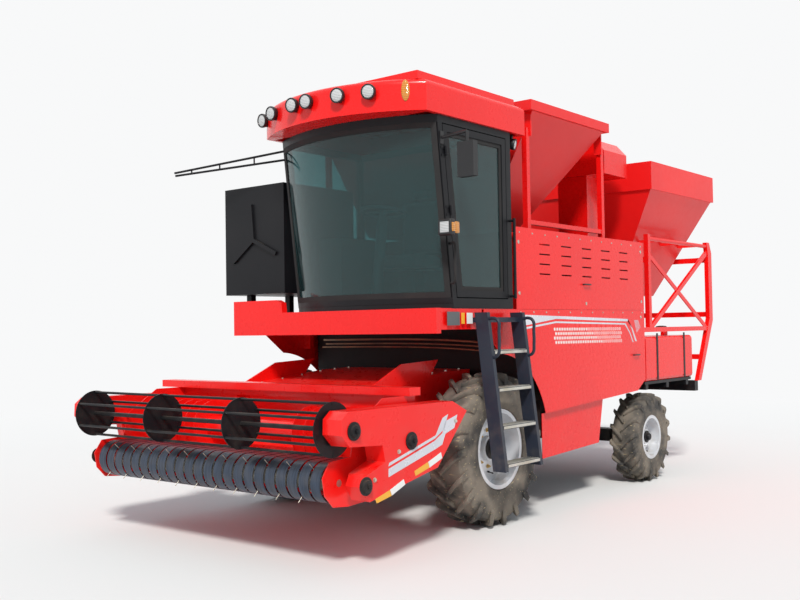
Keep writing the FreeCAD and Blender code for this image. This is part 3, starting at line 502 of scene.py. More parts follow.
def together(parts):
    deselectAll()
    for part in parts:
        part.select_set(True)
    bpy.context.view_layer.objects.active = parts[0]
    if len(parts) > 1:
        bpy.ops.object.join()
    return parts[0]


def addModifier(piece, kind, **settings):
    pickOnly(piece)
    modifier = piece.modifiers.new(kind.lower(), kind)
    for name, value in settings.items():
        setattr(modifier, name, value)
    bpy.ops.object.modifier_apply(modifier=modifier.name)


def finishPiece(piece, name, material, body="root", smooth=32):
    pickOnly(piece)
    bpy.ops.object.transform_apply(location=True, rotation=True, scale=True)
    bpy.ops.object.shade_smooth_by_angle(angle=math.radians(smooth))
    piece.name = name
    piece.data.materials.clear()
    piece.data.materials.append(material)
    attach(piece, body)
    return piece


def boltHead(size):
    washer = turned([(0.62 * size, 0), (0.62 * size, 0.10 * size)], 14, (0, 0, 0), (0, 0, 1))
    head = turned([(0.48 * size, 0.08 * size), (0.48 * size, 0.42 * size),
                   (0.40 * size, 0.50 * size)], 6, (0, 0, 0), (0, 0, 1))
    return together([washer, head])


def bolts(name, spots, along, size=0.020, material=None, body="root"):
    # one bolt is modelled, and each copy sits on its spot and looks along the given way
    master = boltHead(size)
    turn = Vector(along).to_track_quat("Z", "Y").to_matrix().to_4x4()
    copies = [copyTo(master, Matrix.Translation(spot) @ turn) for spot in spots]
    bpy.data.objects.remove(master)
    return finishPiece(together(copies), name, material or zincSteel, body)


def tubeFrom(line, radius, steps):
    # gives a curve its round section and turns it into a mesh
    line.data.bevel_depth = radius
    line.data.bevel_resolution = steps
    pickOnly(line)
    bpy.ops.object.convert(target="MESH")
    return bpy.context.object


def rowOf(start, end, count):
    start, end = Vector(start), Vector(end)
    return [start.lerp(end, index / (count - 1)) for index in range(count)]


def surfaceAt(nodeName, start, way):
    # where a line from the start meets the node, or nothing
    hit, place = nodes[nodeName].ray_cast(Vector(start), Vector(way))[:2]
    return place if hit else None


def surfacesAt(nodeName, starts, way):
    # the same for many lines, without those that miss the node
    found = [surfaceAt(nodeName, start, way) for start in starts]
    return [point for point in found if point is not None]


# tyres, wheel nuts and hubs

tyreForms = {
    "front": {"hub": frontHub, "tip": 0.6325, "bead": 0.3055, "half": 0.189, "lug": 0.036,
              "pairs": 19, "lugWidth": 0.058, "sweep": 0.30},
    "rear": {"hub": rearHub, "tip": 0.460, "bead": 0.2035, "half": 0.1425, "lug": 0.030,
             "pairs": 16, "lugWidth": 0.046, "sweep": 0.33}}


def tyreLug(form, hand):
    tip, half, depth = form["tip"] - 0.001, form["half"], form["lug"]
    sections = [(-0.05, 0.5, 0.0, 1.15, 0.8), (0.12, 0.32, 0.0, 1.15, 1.0),
                (0.45, 0.0, 0.001, 1.15, 1.0), (0.76, -0.28, 0.003, 1.3, 1.05),
                (0.95, -0.42, 0.010, 2.0, 1.1), (0.99, -0.47, 0.052, 1.6, 1.0),
                (0.955, -0.5, 0.105, 0.9, 0.8)]
    rows = []
    for across, turn, sunk, deep, wide in sections:
        height = depth * deep
        middle = tip - sunk - height / 2
        angle = form["sweep"] * turn
        rows.append((Vector((middle * math.sin(angle), hand * across * half,
                             middle * math.cos(angle))), height, wide * form["lugWidth"], angle))
    place, height, width, angle = rows[0]
    deselectAll()
    bpy.ops.mesh.primitive_plane_add(size=1, location=place, rotation=(math.pi / 2, angle, 0))
    lug = bpy.context.object
    lug.scale = (width, height, 1)
    bpy.ops.object.transform_apply(location=True, rotation=True, scale=True)
    top = sorted(v.co.z for v in lug.data.vertices)[2] - 0.002
    editOnly(lug, "VERT", lambda v: v.co.z >= top)
    bpy.ops.transform.resize(value=(0.70, 1, 1))
    bpy.ops.mesh.select_mode(type="FACE")
    bpy.ops.mesh.select_all(action="SELECT")
    for (spot, tall, broad, lean), (nextSpot, nextTall, nextBroad, nextLean) in zip(rows, rows[1:]):
        bpy.ops.mesh.extrude_region_move(TRANSFORM_OT_translate={"value": nextSpot - spot})
        bpy.ops.transform.rotate(value=-(nextLean - lean), orient_axis="Y",
                                 center_override=nextSpot)
        bpy.ops.transform.resize(value=(nextBroad / broad, 1, nextTall / tall),
                                 center_override=nextSpot)
    closeUp()
    addModifier(lug, "BEVEL", width=0.004, segments=2, limit_method="ANGLE",
                angle_limit=math.radians(40))
    return lug


def tyreCase(form):
    half, bead, crown = form["half"], form["bead"], form["tip"] - form["lug"]
    deep = crown - bead
    side = [(-0.78, 0.0), (-0.80, 0.09), (-0.92, 0.12), (-0.955, 0.24), (-0.968, 0.30),
            (-0.955, 0.315), (-0.965, 0.45), (-0.965, 0.60), (-0.955, 0.62), (-0.94, 0.72),
            (-0.90, 0.85), (-0.80, 0.94), (-0.55, 0.985), (0.0, 1.0)]
    profile = [(a * half, bead + b * deep) for a, b in side]
    profile += [(-y, r) for y, r in reversed(profile[:-1])] + [profile[0]]
    deselectAll()
    bpy.ops.mesh.primitive_circle_add(vertices=96, radius=profile[0][1], fill_type="NOTHING",
                                      location=(0, profile[0][0], 0),
                                      rotation=(math.pi / 2, 0, 0))
    case = bpy.context.object
    bpy.ops.object.transform_apply(location=True, rotation=True, scale=True)
    openAll()
    for (y, radius), (nextY, nextRadius) in zip(profile, profile[1:]):
        bpy.ops.mesh.extrude_edges_move(TRANSFORM_OT_translate={"value": (0, nextY - y, 0)})
        grow = nextRadius / radius
        bpy.ops.transform.resize(value=(grow, 1, grow), center_override=(0, nextY, 0))
    bpy.ops.mesh.select_all(action="SELECT")
    bpy.ops.mesh.remove_doubles(threshold=0.0002)
    bpy.ops.mesh.normals_make_consistent(inside=False)
    bpy.ops.object.mode_set(mode="OBJECT")
    return case


def wheelNuts(count, ring, size):
    # nuts stand on the dished disc in a ring, with a stud through each
    nut = turned([(size * 0.85, 0), (size * 0.85, 0.004), (size * 0.62, 0.006)], 20,
                 (0, 0, 0), (0, 1, 0))
    hexagon = turned([(size * 0.58, 0.005), (size * 0.58, size * 0.95),
                      (size * 0.48, size * 1.05)], 6, (0, 0, 0), (0, 1, 0))
    stud = turned([(size * 0.27, 0.01), (size * 0.27, size * 1.45), (size * 0.2, size * 1.5)], 12,
                  (0, 0, 0), (0, 1, 0))
    one = together([nut, hexagon, stud])
    one.matrix_basis = Matrix.Translation((0, 0, ring)) @ one.matrix_basis
    return together(around(one, count, (0, 0, 0), "Y"))


def makeWheel(end, form):
    case = tyreCase(form)
    parts = [case]
    pitch = math.pi / form["pairs"]
    for hand in (1, -1):
        lug = tyreLug(form, hand)
        if hand < 0:
            lug.matrix_basis = Matrix.Rotation(pitch, 4, "Y") @ lug.matrix_basis
        parts += around(lug, form["pairs"], (0, 0, 0), "Y")
    tyre = together(parts)
    pickOnly(tyre)
    bpy.ops.object.transform_apply(location=True, rotation=True, scale=True)
    for side, hand in sides.items():
        hub = Vector((form["hub"].x, hand * abs(form["hub"].y), form["hub"].z))
        tyreMiddle = middleOf("%s_tyre_%s" % (end, side))
        made = copyTo(tyre, Matrix.Translation((hub.x, tyreMiddle.y, hub.z)))
        body = "%s_wheel_%s" % (end, side)
        finishPiece(made, "%sTyre%s" % (end, side.title()), tyreRubber, body, 38)
        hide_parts("%s_tyre_%s" % (end, side))
    bpy.data.objects.remove(tyre)


nutRings = {"front": {"count": 8, "ring": 0.150, "size": 0.021, "cap": 0.088},
            "rear": {"count": 6, "ring": 0.098, "size": 0.017, "cap": 0.062}}

for end, form in tyreForms.items():
    makeWheel(end, form)
    ring = nutRings[end]
    for side, hand in sides.items():
        rim = "%s_rim_%s" % (end, side)
        hub = middleOf(rim)
        far = hub.y + hand * 0.5
        discHit = surfaceAt(rim, (hub.x, far, hub.z + ring["ring"]), (0, -hand, 0))
        disc = discHit.y if discHit else hub.y
        body = "%s_wheel_%s" % (end, side)
        nuts = wheelNuts(ring["count"], ring["ring"], ring["size"])
        if hand < 0:
            nuts.matrix_basis = Matrix.Rotation(math.pi, 4, "Z") @ nuts.matrix_basis
        nuts.matrix_basis = Matrix.Translation((hub.x, disc, hub.z)) @ nuts.matrix_basis
        finishPiece(nuts, "%sNuts%s" % (end, side.title()), brassNut, body)
        capHit = surfaceAt(rim, (hub.x, far, hub.z + ring["cap"]), (0, -hand, 0))
        cap = capHit.y if capHit else hub.y
        radius = ring["cap"]
        hubCap = turned([(radius, -0.002), (radius, 0.010), (radius * 0.8, 0.016),
                         (radius * 0.62, 0.018), (radius * 0.6, 0.036), (radius * 0.52, 0.044),
                         (radius * 0.14, 0.046)], 32, (hub.x, cap, hub.z), (0, hand, 0))
        finishPiece(hubCap, "%sHub%s" % (end, side.title()), blackPaint, body)
        valve = turned([(0.008, 0), (0.008, 0.018), (0.0045, 0.020), (0.0045, 0.044),
                        (0.006, 0.045), (0.006, 0.055)], 12,
                       (hub.x, disc, hub.z - ring["ring"] - 0.045), (0, hand, -0.2))
        finishPiece(valve, "%sValve%s" % (end, side.title()), sealRubber, body)
print("wheels made")


# rubber borders on the cab's glass

borders = {"windscreen": {"width": 0.045, "thick": 0.012, "facing": (1, 0, 0), "least": 0.30,
                          "body": "root", "name": "screenSeal"},
           "door_glass": {"width": 0.032, "thick": 0.014, "facing": (0, 1, 0), "least": 0.8,
                          "body": "door", "name": "doorSeal"}}


def glassBorder(nodeName, form):
    # a copy of the pane's outer face, inset, with only the border kept and given its thickness
    deselectAll()
    pane = copyTo(nodes[nodeName], Matrix.Identity(4))
    pane.parent = None
    pane.matrix_basis = Matrix.Identity(4)
    facing = Vector(form["facing"])
    pickOnly(pane)
    openAll()
    bpy.ops.mesh.remove_doubles(threshold=0.0001)
    bpy.ops.object.mode_set(mode="OBJECT")
    editOnly(pane, "FACE", lambda f: f.normal.dot(facing) < form["least"])
    bpy.ops.mesh.delete(type="FACE")
    bpy.ops.mesh.select_all(action="SELECT")
    bpy.ops.mesh.inset(thickness=form["width"], use_even_offset=True)
    bpy.ops.mesh.delete(type="FACE")
    bpy.ops.object.mode_set(mode="OBJECT")
    addModifier(pane, "SOLIDIFY", thickness=form["thick"], offset=0.3)
    return finishPiece(pane, form["name"], sealRubber, form["body"])


for nodeName, form in borders.items():
    glassBorder(nodeName, form)
print("cab glass edged")


# lamps: a row on the roof, the headlamp with its indicator, and the marker block

def roofLampAt(place, way, radius):
    rim, lens = radius, radius * 0.84
    house = turned([(rim * 0.45, -0.062), (rim * 0.72, -0.055), (rim * 0.93, -0.030),
                    (rim, -0.010), (rim, 0.004), (rim * 0.97, 0.008), (rim * 0.88, 0.009),
                    (lens, 0.003), (lens * 0.97, -0.008)], 36, place, way)
    bowl = turned([(lens * 0.30, -0.034), (lens * 0.62, -0.026), (lens * 0.86, -0.012),
                   (lens * 0.97, -0.006)], 36, place, way)
    glass = turned([(lens * 0.965, -0.004), (lens * 0.955, 0.004), (lens * 0.8, 0.0085),
                    (lens * 0.5, 0.012), (lens * 0.16, 0.0135)], 36, place, way)
    return house, bowl, glass


roofArc = {"x": axleX - 0.176, "y": 0.435, "z": 3.452, "radius": 1.426, "reach": 2.2,
           "lampRim": 0.060, "spots": (-0.385, -0.130, 0.200, 0.370, 0.680, 0.930),
           "ovalSpot": 1.180}


def roofFace(spot):
    # the point on the curved roof front at a distance across, and the way it looks
    lean = math.asin((spot - roofArc["y"]) / roofArc["radius"])
    outward = Vector((math.cos(lean), math.sin(lean), 0))
    start = Vector((roofArc["x"], roofArc["y"], roofArc["z"])) + outward * roofArc["reach"]
    return surfaceAt("cab_roof", start, -outward), outward, lean


houses, bowls, glasses = [], [], []
for spot in roofArc["spots"]:
    face, outward, lean = roofFace(spot)
    way = Vector((math.cos(0.45 * lean + 0.12), math.sin(0.45 * lean + 0.12), -0.10))
    house, bowl, glass = roofLampAt(face + outward * 0.050, way, roofArc["lampRim"])
    foot = block(face + outward * 0.018 + Vector((0, 0, -0.030)), (0.05, 0.03, 0.045), 0.006, 2,
                 (0, 0, lean))
    houses += [house, foot]
    bowls.append(bowl)
    glasses.append(glass)

headLamp = {"low": (2.062, 1.326, 2.345), "high": (2.125, 1.452, 2.470),
            "marker": ((2.005, 1.345, 2.362), (2.062, 1.452, 2.452)),
            "corner": ((2.070, 1.442, 2.372), (2.112, 1.458, 2.443)),
            "pad": ((1.905, 1.284, 2.375), (1.945, 1.300, 2.440)),
            "stalk": (1.965, 1.322, 2.407), "stalkWay": (0.115, 0.072, 0)}
low, high = Vector(headLamp["low"]), Vector(headLamp["high"])
shell = between(low, high, 0.012, 3)
editOnly(shell, "FACE", lambda f: f.normal.x > 0.99)
bpy.ops.mesh.inset(thickness=0.008)
bpy.ops.mesh.extrude_region_move(TRANSFORM_OT_translate={"value": (-0.008, 0, 0)})
bpy.ops.object.mode_set(mode="OBJECT")
lens = between(low + Vector((0.045, 0.019, 0.019)), high - Vector((0.001, 0.019, 0.019)), 0.005, 3)
cornerLens = between(*headLamp["corner"], 0.005, 2)
marker = between(*headLamp["marker"], 0.010, 3)
footPad = between(*headLamp["pad"], 0.004)
deselectAll()
bpy.ops.mesh.primitive_cylinder_add(vertices=16, radius=0.011, depth=0.135, end_fill_type="NGON",
                                    location=headLamp["stalk"])
stalk = bpy.context.object
stalk.rotation_euler = Vector(headLamp["stalkWay"]).to_track_quat("Z", "Y").to_euler()
lampShells = finishPiece(together(houses + [shell, footPad, stalk]), "lampHousings", blackPlastic)
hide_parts("lamps")
finishPiece(together(bowls), "lampReflectors", mirrorGlass)
finishPiece(together(glasses + [lens]), "lampLenses", clearLens)
finishPiece(together([marker, cornerLens]), "indicatorLens", amberLens)

workLamp = {"place": Vector((0.905, 1.262, 3.215)), "way": (-0.35, 1.0, -0.25), "radius": 0.050}
place = workLamp["place"]
house, bowl, glass = roofLampAt(place, Vector(workLamp["way"]), workLamp["radius"])
hanger = between(place + Vector((-0.012, -0.045, 0.03)),
                 (place.x + 0.012, place.y - 0.020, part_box("cab_roof")[0].z + 0.002))
finishPiece(together([house, hanger]), "workLampHousings", blackPlastic)
finishPiece(together([bowl, glass]), "workLampLenses", clearLens)

oval = turned([(0.060, 0), (0.060, 0.010), (0.052, 0.016), (0.030, 0.019)], 32, (0, 0, 0),
              (0, 0, 1))
oval.scale = (0.55, 1.35, 1)
face, outward, lean = roofFace(roofArc["ovalSpot"])
oval.rotation_euler = outward.to_track_quat("Z", "Y").to_euler()
oval.location = face - outward * 0.002
finishPiece(oval, "roofMarker", amberLens)

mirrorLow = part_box("mirror")[0]
mirrorHead = {"inner": 1.462, "outer": 1.588, "top": 3.048}
pane = between((mirrorLow.x - 0.002, mirrorHead["inner"], mirrorLow.z + 0.012),
               (mirrorLow.x + 0.004, mirrorHead["outer"], mirrorHead["top"]), 0.0015, 1)
finishPiece(pane, "mirrorPane", mirrorGlass)
print("lamps and mirror made")


# header: stripes and reflectors on the covers, fasteners, shaft bearings

coverFace = {"y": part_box("header_cover_left")[1].y, "thick": 0.0015}


def coverPlate(points, lift=0.0):
    y = coverFace["y"] + lift
    return outlinePlate([(axleX + x, y, z) for x, z in points], (0, coverFace["thick"], 0))


stripeShapes = {"upper": [(1.725, 0.735), (1.198, 0.872), (1.112, 0.990), (1.043, 1.012),
                          (1.100, 0.905), (1.205, 0.850), (1.733, 0.712)],
                "lower": [(1.733, 0.695), (1.215, 0.832), (1.118, 0.880), (1.072, 0.965),
                          (0.928, 1.000), (0.970, 0.905), (1.080, 0.872), (1.122, 0.798),
                          (1.194, 0.776), (1.734, 0.640)]}
stripes = [coverPlate(points) for points in stripeShapes.values()]
finishPiece(together(stripes), "coverStripes", stripeFoil, "header")

reflectors = [((1.720, 0.553), (1.573, 0.606), (1.556, 0.567), (1.703, 0.512)),
              ((1.292, 0.692), (1.139, 0.744), (1.125, 0.700), (1.276, 0.650))]
amberStrips = [((1.877, 0.512), (1.724, 0.552), (1.706, 0.511), (1.861, 0.482)),
               ((1.452, 0.646), (1.296, 0.691), (1.279, 0.650), (1.440, 0.611))]
finishPiece(together([coverPlate(p, 0.0002) for p in reflectors]), "coverReflectorsWhite",
            whiteFoil, "header")
finishPiece(together([coverPlate(p, 0.0002) for p in amberStrips]), "coverReflectorsAmber",
            amberFoil, "header")

coverSpots = [(1.912, 0.745), (2.045, 0.700), (2.020, 0.622), (1.880, 0.640), (0.955, 0.955),
              (1.02, 0.78), (1.30, 0.560), (1.62, 0.80)]
clear = 0.3                             # how far off a wall a line to it starts


def outsideOf(nodeName, hand):
    low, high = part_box(nodeName)
    return high.y if hand > 0 else low.y


for side, hand in sides.items():
    cover = "header_cover_%s" % side
    far = outsideOf(cover, hand) + hand * clear
    spots = surfacesAt(cover, [(axleX + x, far, z) for x, z in coverSpots], (0, -hand, 0))
    bolts("coverBolts%s" % side.title(), spots, (0, hand, 0), 0.026, zincSteel, "header")

troughRow = {"x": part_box("header_trough")[0].x + 0.20, "y": 1.20, "above": 1.6, "count": 13}
starts = rowOf((troughRow["x"], -troughRow["y"], troughRow["above"]),
               (troughRow["x"], troughRow["y"], troughRow["above"]), troughRow["count"])
bolts("troughBolts", surfacesAt("header_trough", starts, (0, 0, -1)), (0, 0, 1), 0.020, zincSteel,
      "header")
feederRow = {"x": (0.95, 1.15, 1.35, 1.6, 1.85, 2.1, 2.3), "y": (-0.66, 0.66), "above": 1.9}
starts = [(x, y, feederRow["above"]) for x in feederRow["x"] for y in feederRow["y"]]
bolts("feederBolts", surfacesAt("feeder_house", starts, (0, 0, -1)), (0, 0, 1), 0.020, zincSteel,
      "header")

reelRing = {"middle": middleOf("reel"), "radius": 0.060, "count": 6, "inset": 0.02}
for side, hand in sides.items():
    y = outsideOf("reel", hand) - hand * reelRing["inset"] + hand * clear
    starts = []
    for k in range(reelRing["count"]):
        angle = k * math.pi / 3 + math.pi / 6
        starts.append((reelRing["middle"].x + reelRing["radius"] * math.cos(angle), y,
                       reelRing["middle"].z + reelRing["radius"] * math.sin(angle)))
    bolts("reelBolts" + side.title(), surfacesAt("reel", starts, (0, -hand, 0)), (0, hand, 0),
          0.016, zincSteel, "reel_rotor")

# the shafts of the header: a flanged bearing on each outer wall
bearing = [(0.062, 0), (0.062, 0.008), (0.046, 0.010), (0.040, 0.026), (0.030, 0.030),
           (0.018, 0.031), (0.018, 0.044), (0.014, 0.046)]
hubs = [middleOf(nodeName) for nodeName in ("reel", "pickup_tines", "header_auger")]
made = []
for side, hand in sides.items():
    cover = "header_cover_%s" % side
    starts = [(hub.x, outsideOf(cover, hand) + hand * clear, hub.z) for hub in hubs]
    made += [turned(bearing, 28, face, (0, hand, 0))
             for face in surfacesAt(cover, starts, (0, -hand, 0))]
finishPiece(together(made), "shaftBearings", blackPaint, "header")
print("header dressed, bearings:", len(made))


# body sides: silver band with its end flash, honeycomb, hatch lines, latches and handles

sideFace = {"y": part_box("upper_panel_left")[1].y, "thick": 0.0015}


def sidePlate(points, hand):
    return outlinePlate([(axleX + x, hand * sideFace["y"], z) for x, z in points],
                        (0, hand * sideFace["thick"], 0))


bandShapes = [[(-0.330, 1.745), (-1.900, 1.712), (-1.900, 1.684), (-0.960, 1.706),
               (-0.330, 1.640)],
              [(-1.900, 1.712), (-2.400, 1.700), (-2.400, 1.676), (-1.900, 1.684)],
              [(-2.400, 1.700), (-2.480, 1.600), (-2.505, 1.600), (-2.425, 1.676), (-2.400, 1.676)],
              [(-2.480, 1.600), (-2.560, 1.470), (-2.595, 1.470), (-2.505, 1.600)],
              [(-0.400, 1.615), (-0.950, 1.668), (-0.950, 1.684), (-0.400, 1.632)],
              [(-0.950, 1.668), (-2.330, 1.643), (-2.345, 1.657), (-0.950, 1.684)],
              [(-2.330, 1.643), (-2.430, 1.560), (-2.448, 1.560), (-2.345, 1.657)],
              [(-2.430, 1.560), (-2.500, 1.462), (-2.520, 1.462), (-2.448, 1.560)]]
honey = {"start": -0.93, "end": -2.28, "top": 1.612, "rise": 0.040, "pitch": 0.046, "rows": 4,
         "radius": 0.0165, "fall": -0.010}


def honeycomb(hand):
    cells = []
    solid = outlinePlate([(honey["radius"] * math.cos(k * math.pi / 3), 0,
                           honey["radius"] * math.sin(k * math.pi / 3)) for k in range(6)],
                         (0, hand * sideFace["thick"], 0))
    hollow = copyTo(solid, Matrix.Identity(4))
    editOnly(hollow, "FACE", lambda f: abs(f.normal.y) > 0.9)
    bpy.ops.mesh.inset(thickness=0.0055)
    bpy.ops.mesh.bridge_edge_loops()
    bpy.ops.object.mode_set(mode="OBJECT")
    count = int((honey["start"] - honey["end"]) / honey["pitch"])
    for row in range(honey["rows"]):
        for step in range(count):
            x = honey["start"] - step * honey["pitch"] - (row % 2) * honey["pitch"] / 2
            z = honey["top"] + honey["fall"] * step / count - row * honey["rise"]
            master = solid if step < 0.45 * count + 2 * row else hollow
            cells.append(copyTo(master, Matrix.Translation((axleX + x, hand * sideFace["y"], z))))
    bpy.data.objects.remove(solid)
    bpy.data.objects.remove(hollow)
    return together(cells)


for side, hand in sides.items():
    bands = [sidePlate(points, hand) for points in bandShapes]
    for line in range(6):
        x = -2.545 - 0.016 * line
        bands.append(sidePlate([(x, 1.69), (x - 0.007, 1.69), (x - 0.060, 1.56 + 0.01 * line),
                                (x - 0.053, 1.56 + 0.01 * line)], hand))
    finishPiece(together(bands), "sideBands" + side.title(), stripeFoil, "root")
    finishPiece(honeycomb(hand), "honeycomb" + side.title(), whiteFoil, "root")
print("side bands made")

latchSpots = ((-0.345, 2.370), (-0.345, 1.930), (-2.720, 1.880), (-2.720, 2.400), (-1.530, 1.850),
              (-2.700, 1.720), (-0.420, 1.540))
parts = []
for hand in (1, -1):
    for x, z in latchSpots:
        cup = turned([(0.016, 0), (0.016, 0.004), (0.013, 0.0055), (0.0125, 0.003),
                      (0.005, 0.003)], 20, (axleX + x, hand * sideFace["y"], z), (0, hand, 0))
        key = block((axleX + x, hand * (sideFace["y"] + 0.004), z), (0.018, 0.006, 0.005), 0.0015)
        parts += [cup, key]
finishPiece(together(parts), "panelLatches", zincSteel, "root")

handles = []
for hand in (1, -1):
    for x, z in ((-1.53, 2.030), (-2.560, 1.330)):
        grip = block((axleX + x, hand * (sideFace["y"] + 0.022), z), (0.13, 0.012, 0.014), 0.005, 3)
        legs = [block((axleX + x + s * 0.055, hand * (sideFace["y"] + 0.011), z),
                      (0.014, 0.022, 0.012), 0.003) for s in (-1, 1)]
        handles += [grip] + legs
finishPiece(together(handles), "panelHandles", blackPlastic)

screws = {"from": axleX - 0.36, "to": axleX - 2.72, "rows": (1.765, 2.455), "count": 12}
for side, hand in sides.items():
    spots = []
    for z in screws["rows"]:
        spots += rowOf((screws["from"], hand * sideFace["y"], z),
                       (screws["to"], hand * sideFace["y"], z), screws["count"])
    bolts("panelScrews" + side.title(), spots, (0, hand, 0), 0.013)

# blank plates on the platform's edge: front, rear, low, high and thickness
blankPlates = {"dataPlateBlank": ((0.761, 0.595, 1.660, 1.766, 0.002), greyPlastic,
                                  "black_plastic"),
               "amberPlateBlank": ((0.573, 0.530, 1.672, 1.758, 0.0015), amberFoil, "lamp"),
               "whitePlateBlank": ((0.500, 0.420, 1.672, 1.758, 0.0015), whiteFoil,
                                   "silver_paint")}
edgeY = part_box("platform")[1].y
for name, ((front, rear, low, high, thick), material, slot) in blankPlates.items():
    corners = ((front, low), (rear, low), (rear, high), (front, high))
    plate = outlinePlate([(axleX + x, edgeY, z) for x, z in corners], (0, thick, 0))
    finishPiece(plate, name, material, "root")

# pipes under the platform
pipes = []
pipeRows = ((1.540, 0.009, 1.02), (1.500, 0.007, 0.99), (1.470, 0.007, 1.04))   # z, radius, x
for z, radius, x in pipeRows:
    deselectAll()
    bpy.ops.curve.primitive_bezier_curve_add(location=(0, 0, 0))
    line = bpy.context.object
    first, last = line.data.splines[0].bezier_points
    first.co, last.co = (x, -0.92, z), (x, 1.16, z - 0.05)
    first.handle_left, first.handle_right = (x, -1.2, z), (x + 0.05, -0.3, z - 0.07)
    last.handle_left, last.handle_right = (x + 0.06, 0.6, z + 0.02), (x, 1.3, z - 0.05)
    pipes.append(tubeFrom(line, radius, 3))
finishPiece(together(pipes), "platformPipes", pipeCopper, "root")

# rear lamps on the ends of the rear bar
rearBar = {"x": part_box("chassis_frame")[0].x, "z": 0.920, "from": 1.03, "to": 1.17, "half": 0.038}
lampBacks, rearLenses = [], []
for hand in (1, -1):
    inner, outer = sorted((hand * rearBar["from"], hand * rearBar["to"]))
    low, high = rearBar["z"] - rearBar["half"], rearBar["z"] + rearBar["half"]
    lampBacks.append(between((rearBar["x"] - 0.012, inner, low),
                             (rearBar["x"] + 0.002, outer, high)))
    rearLenses.append(between((rearBar["x"] - 0.028, inner + 0.006, low + 0.006),
                              (rearBar["x"] - 0.010, outer - 0.006, high - 0.006), 0.006, 3))
finishPiece(together(lampBacks), "rearLampBacks", blackPlastic)
finishPiece(together(rearLenses), "rearLamps", redLens, "root")
print("body dressed")

# tank cap and straps
tankLow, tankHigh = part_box("fuel_tank")
cap = turned([(0.055, 0), (0.055, 0.022), (0.062, 0.024), (0.062, 0.050), (0.052, 0.056),
              (0.018, 0.060)], 28, (0, 0, 0))
cap.rotation_euler = (0, 0, 0)
cap.location = (tankLow.x + 0.25, middleOf("fuel_tank").y, tankHigh.z - 0.001)
straps = []
for x in (tankLow.x + 0.22, tankHigh.x - 0.28):
    straps.append(between((x - 0.020, tankHigh.y - 0.001, tankLow.z + 0.01),
                          (x + 0.020, tankHigh.y + 0.004, tankHigh.z - 0.02), 0.0015, 1))
finishPiece(together(straps), "tankStraps", blackPaint, "root")
finishPiece(cap, "tankCap", blackPlastic)


# seat: cushion, back and headrest, on a frame with its base, plate, shell and posts

seatForm = {"base": ((1.265, 0.340, 1.836), (1.405, 0.530, 2.150)),
            "cushion": ((1.145, 0.205, 2.160), (1.585, 0.665, 2.275)),
            "back": ((1.100, 0.215, 2.290), (1.205, 0.655, 2.780)),
            "head": ((1.110, 0.330, 2.795), (1.185, 0.540, 2.880)),
            "shell": ((1.098, 0.235, 2.300), (1.112, 0.635, 2.760)),
            "plate": ((1.160, 0.225, 2.150), (1.570, 0.645, 2.163)),
            "post": {"x": 1.150, "y": (0.37, 0.50), "z": 2.765},
            "voxel": 0.006, "pressure": 4.0, "cap": 0.012, "frames": 20}


def puff(piece):
    # lets pressure fill the pad out, with each point held to a small move
    pickOnly(piece)
    bpy.ops.object.transform_apply(location=True, rotation=True, scale=True)
    addModifier(piece, "REMESH", mode="VOXEL", voxel_size=seatForm["voxel"])
    before = [v.co.copy() for v in piece.data.vertices]
    pickOnly(piece)
    cloth = piece.modifiers.new("stuffing", "CLOTH")
    cloth.settings.use_pressure = True
    cloth.settings.uniform_pressure_force = seatForm["pressure"]
    cloth.settings.effector_weights.gravity = 0
    for step in range(1, seatForm["frames"] + 1):
        bpy.context.scene.frame_set(step)
    bpy.ops.object.modifier_apply(modifier=cloth.name)
    bpy.context.scene.frame_set(1)
    for vertex, start in zip(piece.data.vertices, before):
        move = vertex.co - start
        if move.length > seatForm["cap"]:
            vertex.co = start + move.normalized() * seatForm["cap"]
    addModifier(piece, "SMOOTH", factor=0.5, iterations=4)
    addModifier(piece, "SUBSURF", levels=1, render_levels=1)


def seatPad(name, low, high, rounding):
    room = Vector((0.008, 0.008, 0.006))
    piece = between(Vector(low) + room, Vector(high) - room, rounding, 4)
    puff(piece)
    finishPiece(piece, name, seatCloth, "root", 60)
    return piece


cushion = seatPad("seatCushion", *seatForm["cushion"], 0.035)
seatPad("seatBack", *seatForm["back"], 0.032)
seatPad("seatHeadrest", *seatForm["head"], 0.026)
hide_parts("seat")
seatBase = between(*seatForm["base"], 0.012, 3)
shell = between(*seatForm["shell"], 0.005, 3)
plate = between(*seatForm["plate"], 0.005, 2)
post = seatForm["post"]
posts = [turned([(0.008, 0), (0.008, 0.05)], 12, (post["x"], y, post["z"]), (0, 0, 1))
         for y in post["y"]]
finishPiece(together([seatBase, shell, plate] + posts), "seatFrame", blackPlastic)
print("seat made")

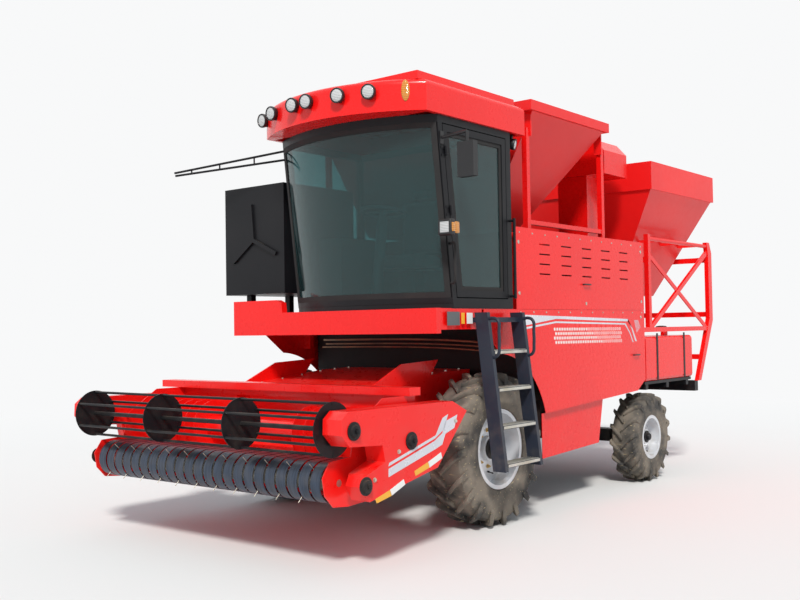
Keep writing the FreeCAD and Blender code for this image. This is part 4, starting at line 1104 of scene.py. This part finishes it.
# ladder: pale ribbed treads, and grab loops at its top
treads = {"count": 4, "first": 0.540, "step": 0.295, "thick": 0.030, "left": 1.145, "right": 1.625,
          "foot": (1.545, 0.510), "top": (1.395, 1.760), "ribs": 5}
ribs = []
for k in range(treads["count"]):
    z = treads["first"] + k * treads["step"]
    share = (z - treads["foot"][1]) / (treads["top"][1] - treads["foot"][1])
    y = treads["foot"][0] + (treads["top"][0] - treads["foot"][0]) * share
    for r in range(treads["ribs"]):
        across = y - 0.048 + r * 0.024
        ribs.append(between((treads["left"] + 0.01, across - 0.004, z + treads["thick"] - 0.001),
                            (treads["right"] - 0.01, across + 0.004, z + treads["thick"] + 0.004),
                            0.0012, 1))
    ribs.append(between((treads["left"] + 0.005, y + 0.058, z + 0.004),
                        (treads["right"] - 0.005, y + 0.062, z + 0.026), 0.001, 1))
finishPiece(together(ribs), "treadRibs", zincSteel, "root")


def rail(points, radius):
    # a bent tube through the given points
    deselectAll()
    bpy.ops.curve.primitive_bezier_curve_add()
    line = bpy.context.object
    spline = line.data.splines[0]
    spline.bezier_points.add(len(points) - 2)
    for knot, point in zip(spline.bezier_points, points):
        knot.co = point
        knot.handle_left_type = knot.handle_right_type = "AUTO"
    line.data.resolution_u = 10
    line.data.use_fill_caps = True
    return tubeFrom(line, radius, 4)


loopForm = {"x": (1.125, 1.645), "radius": 0.013,
            "bend": ((1.44, 1.700), (1.500, 1.712), (1.545, 1.690), (1.552, 1.60), (1.552, 1.50),
                     (1.540, 1.425), (1.505, 1.405), (1.45, 1.400))}
loops = []
for x in loopForm["x"]:
    loops.append(rail([(x, y, z) for y, z in loopForm["bend"]], loopForm["radius"]))
finishPiece(together(loops), "ladderLoops", slatePaint, "root", 50)
grab = rail([(1.905, 1.288, 2.300), (1.915, 1.330, 2.302), (1.922, 1.345, 2.270),
             (1.930, 1.345, 2.150), (1.930, 1.345, 2.030), (1.922, 1.328, 1.995),
             (1.905, 1.288, 1.990)], 0.011)
finishPiece(grab, "cabGrab", sealRubber, "root", 50)
print("ladder dressed")
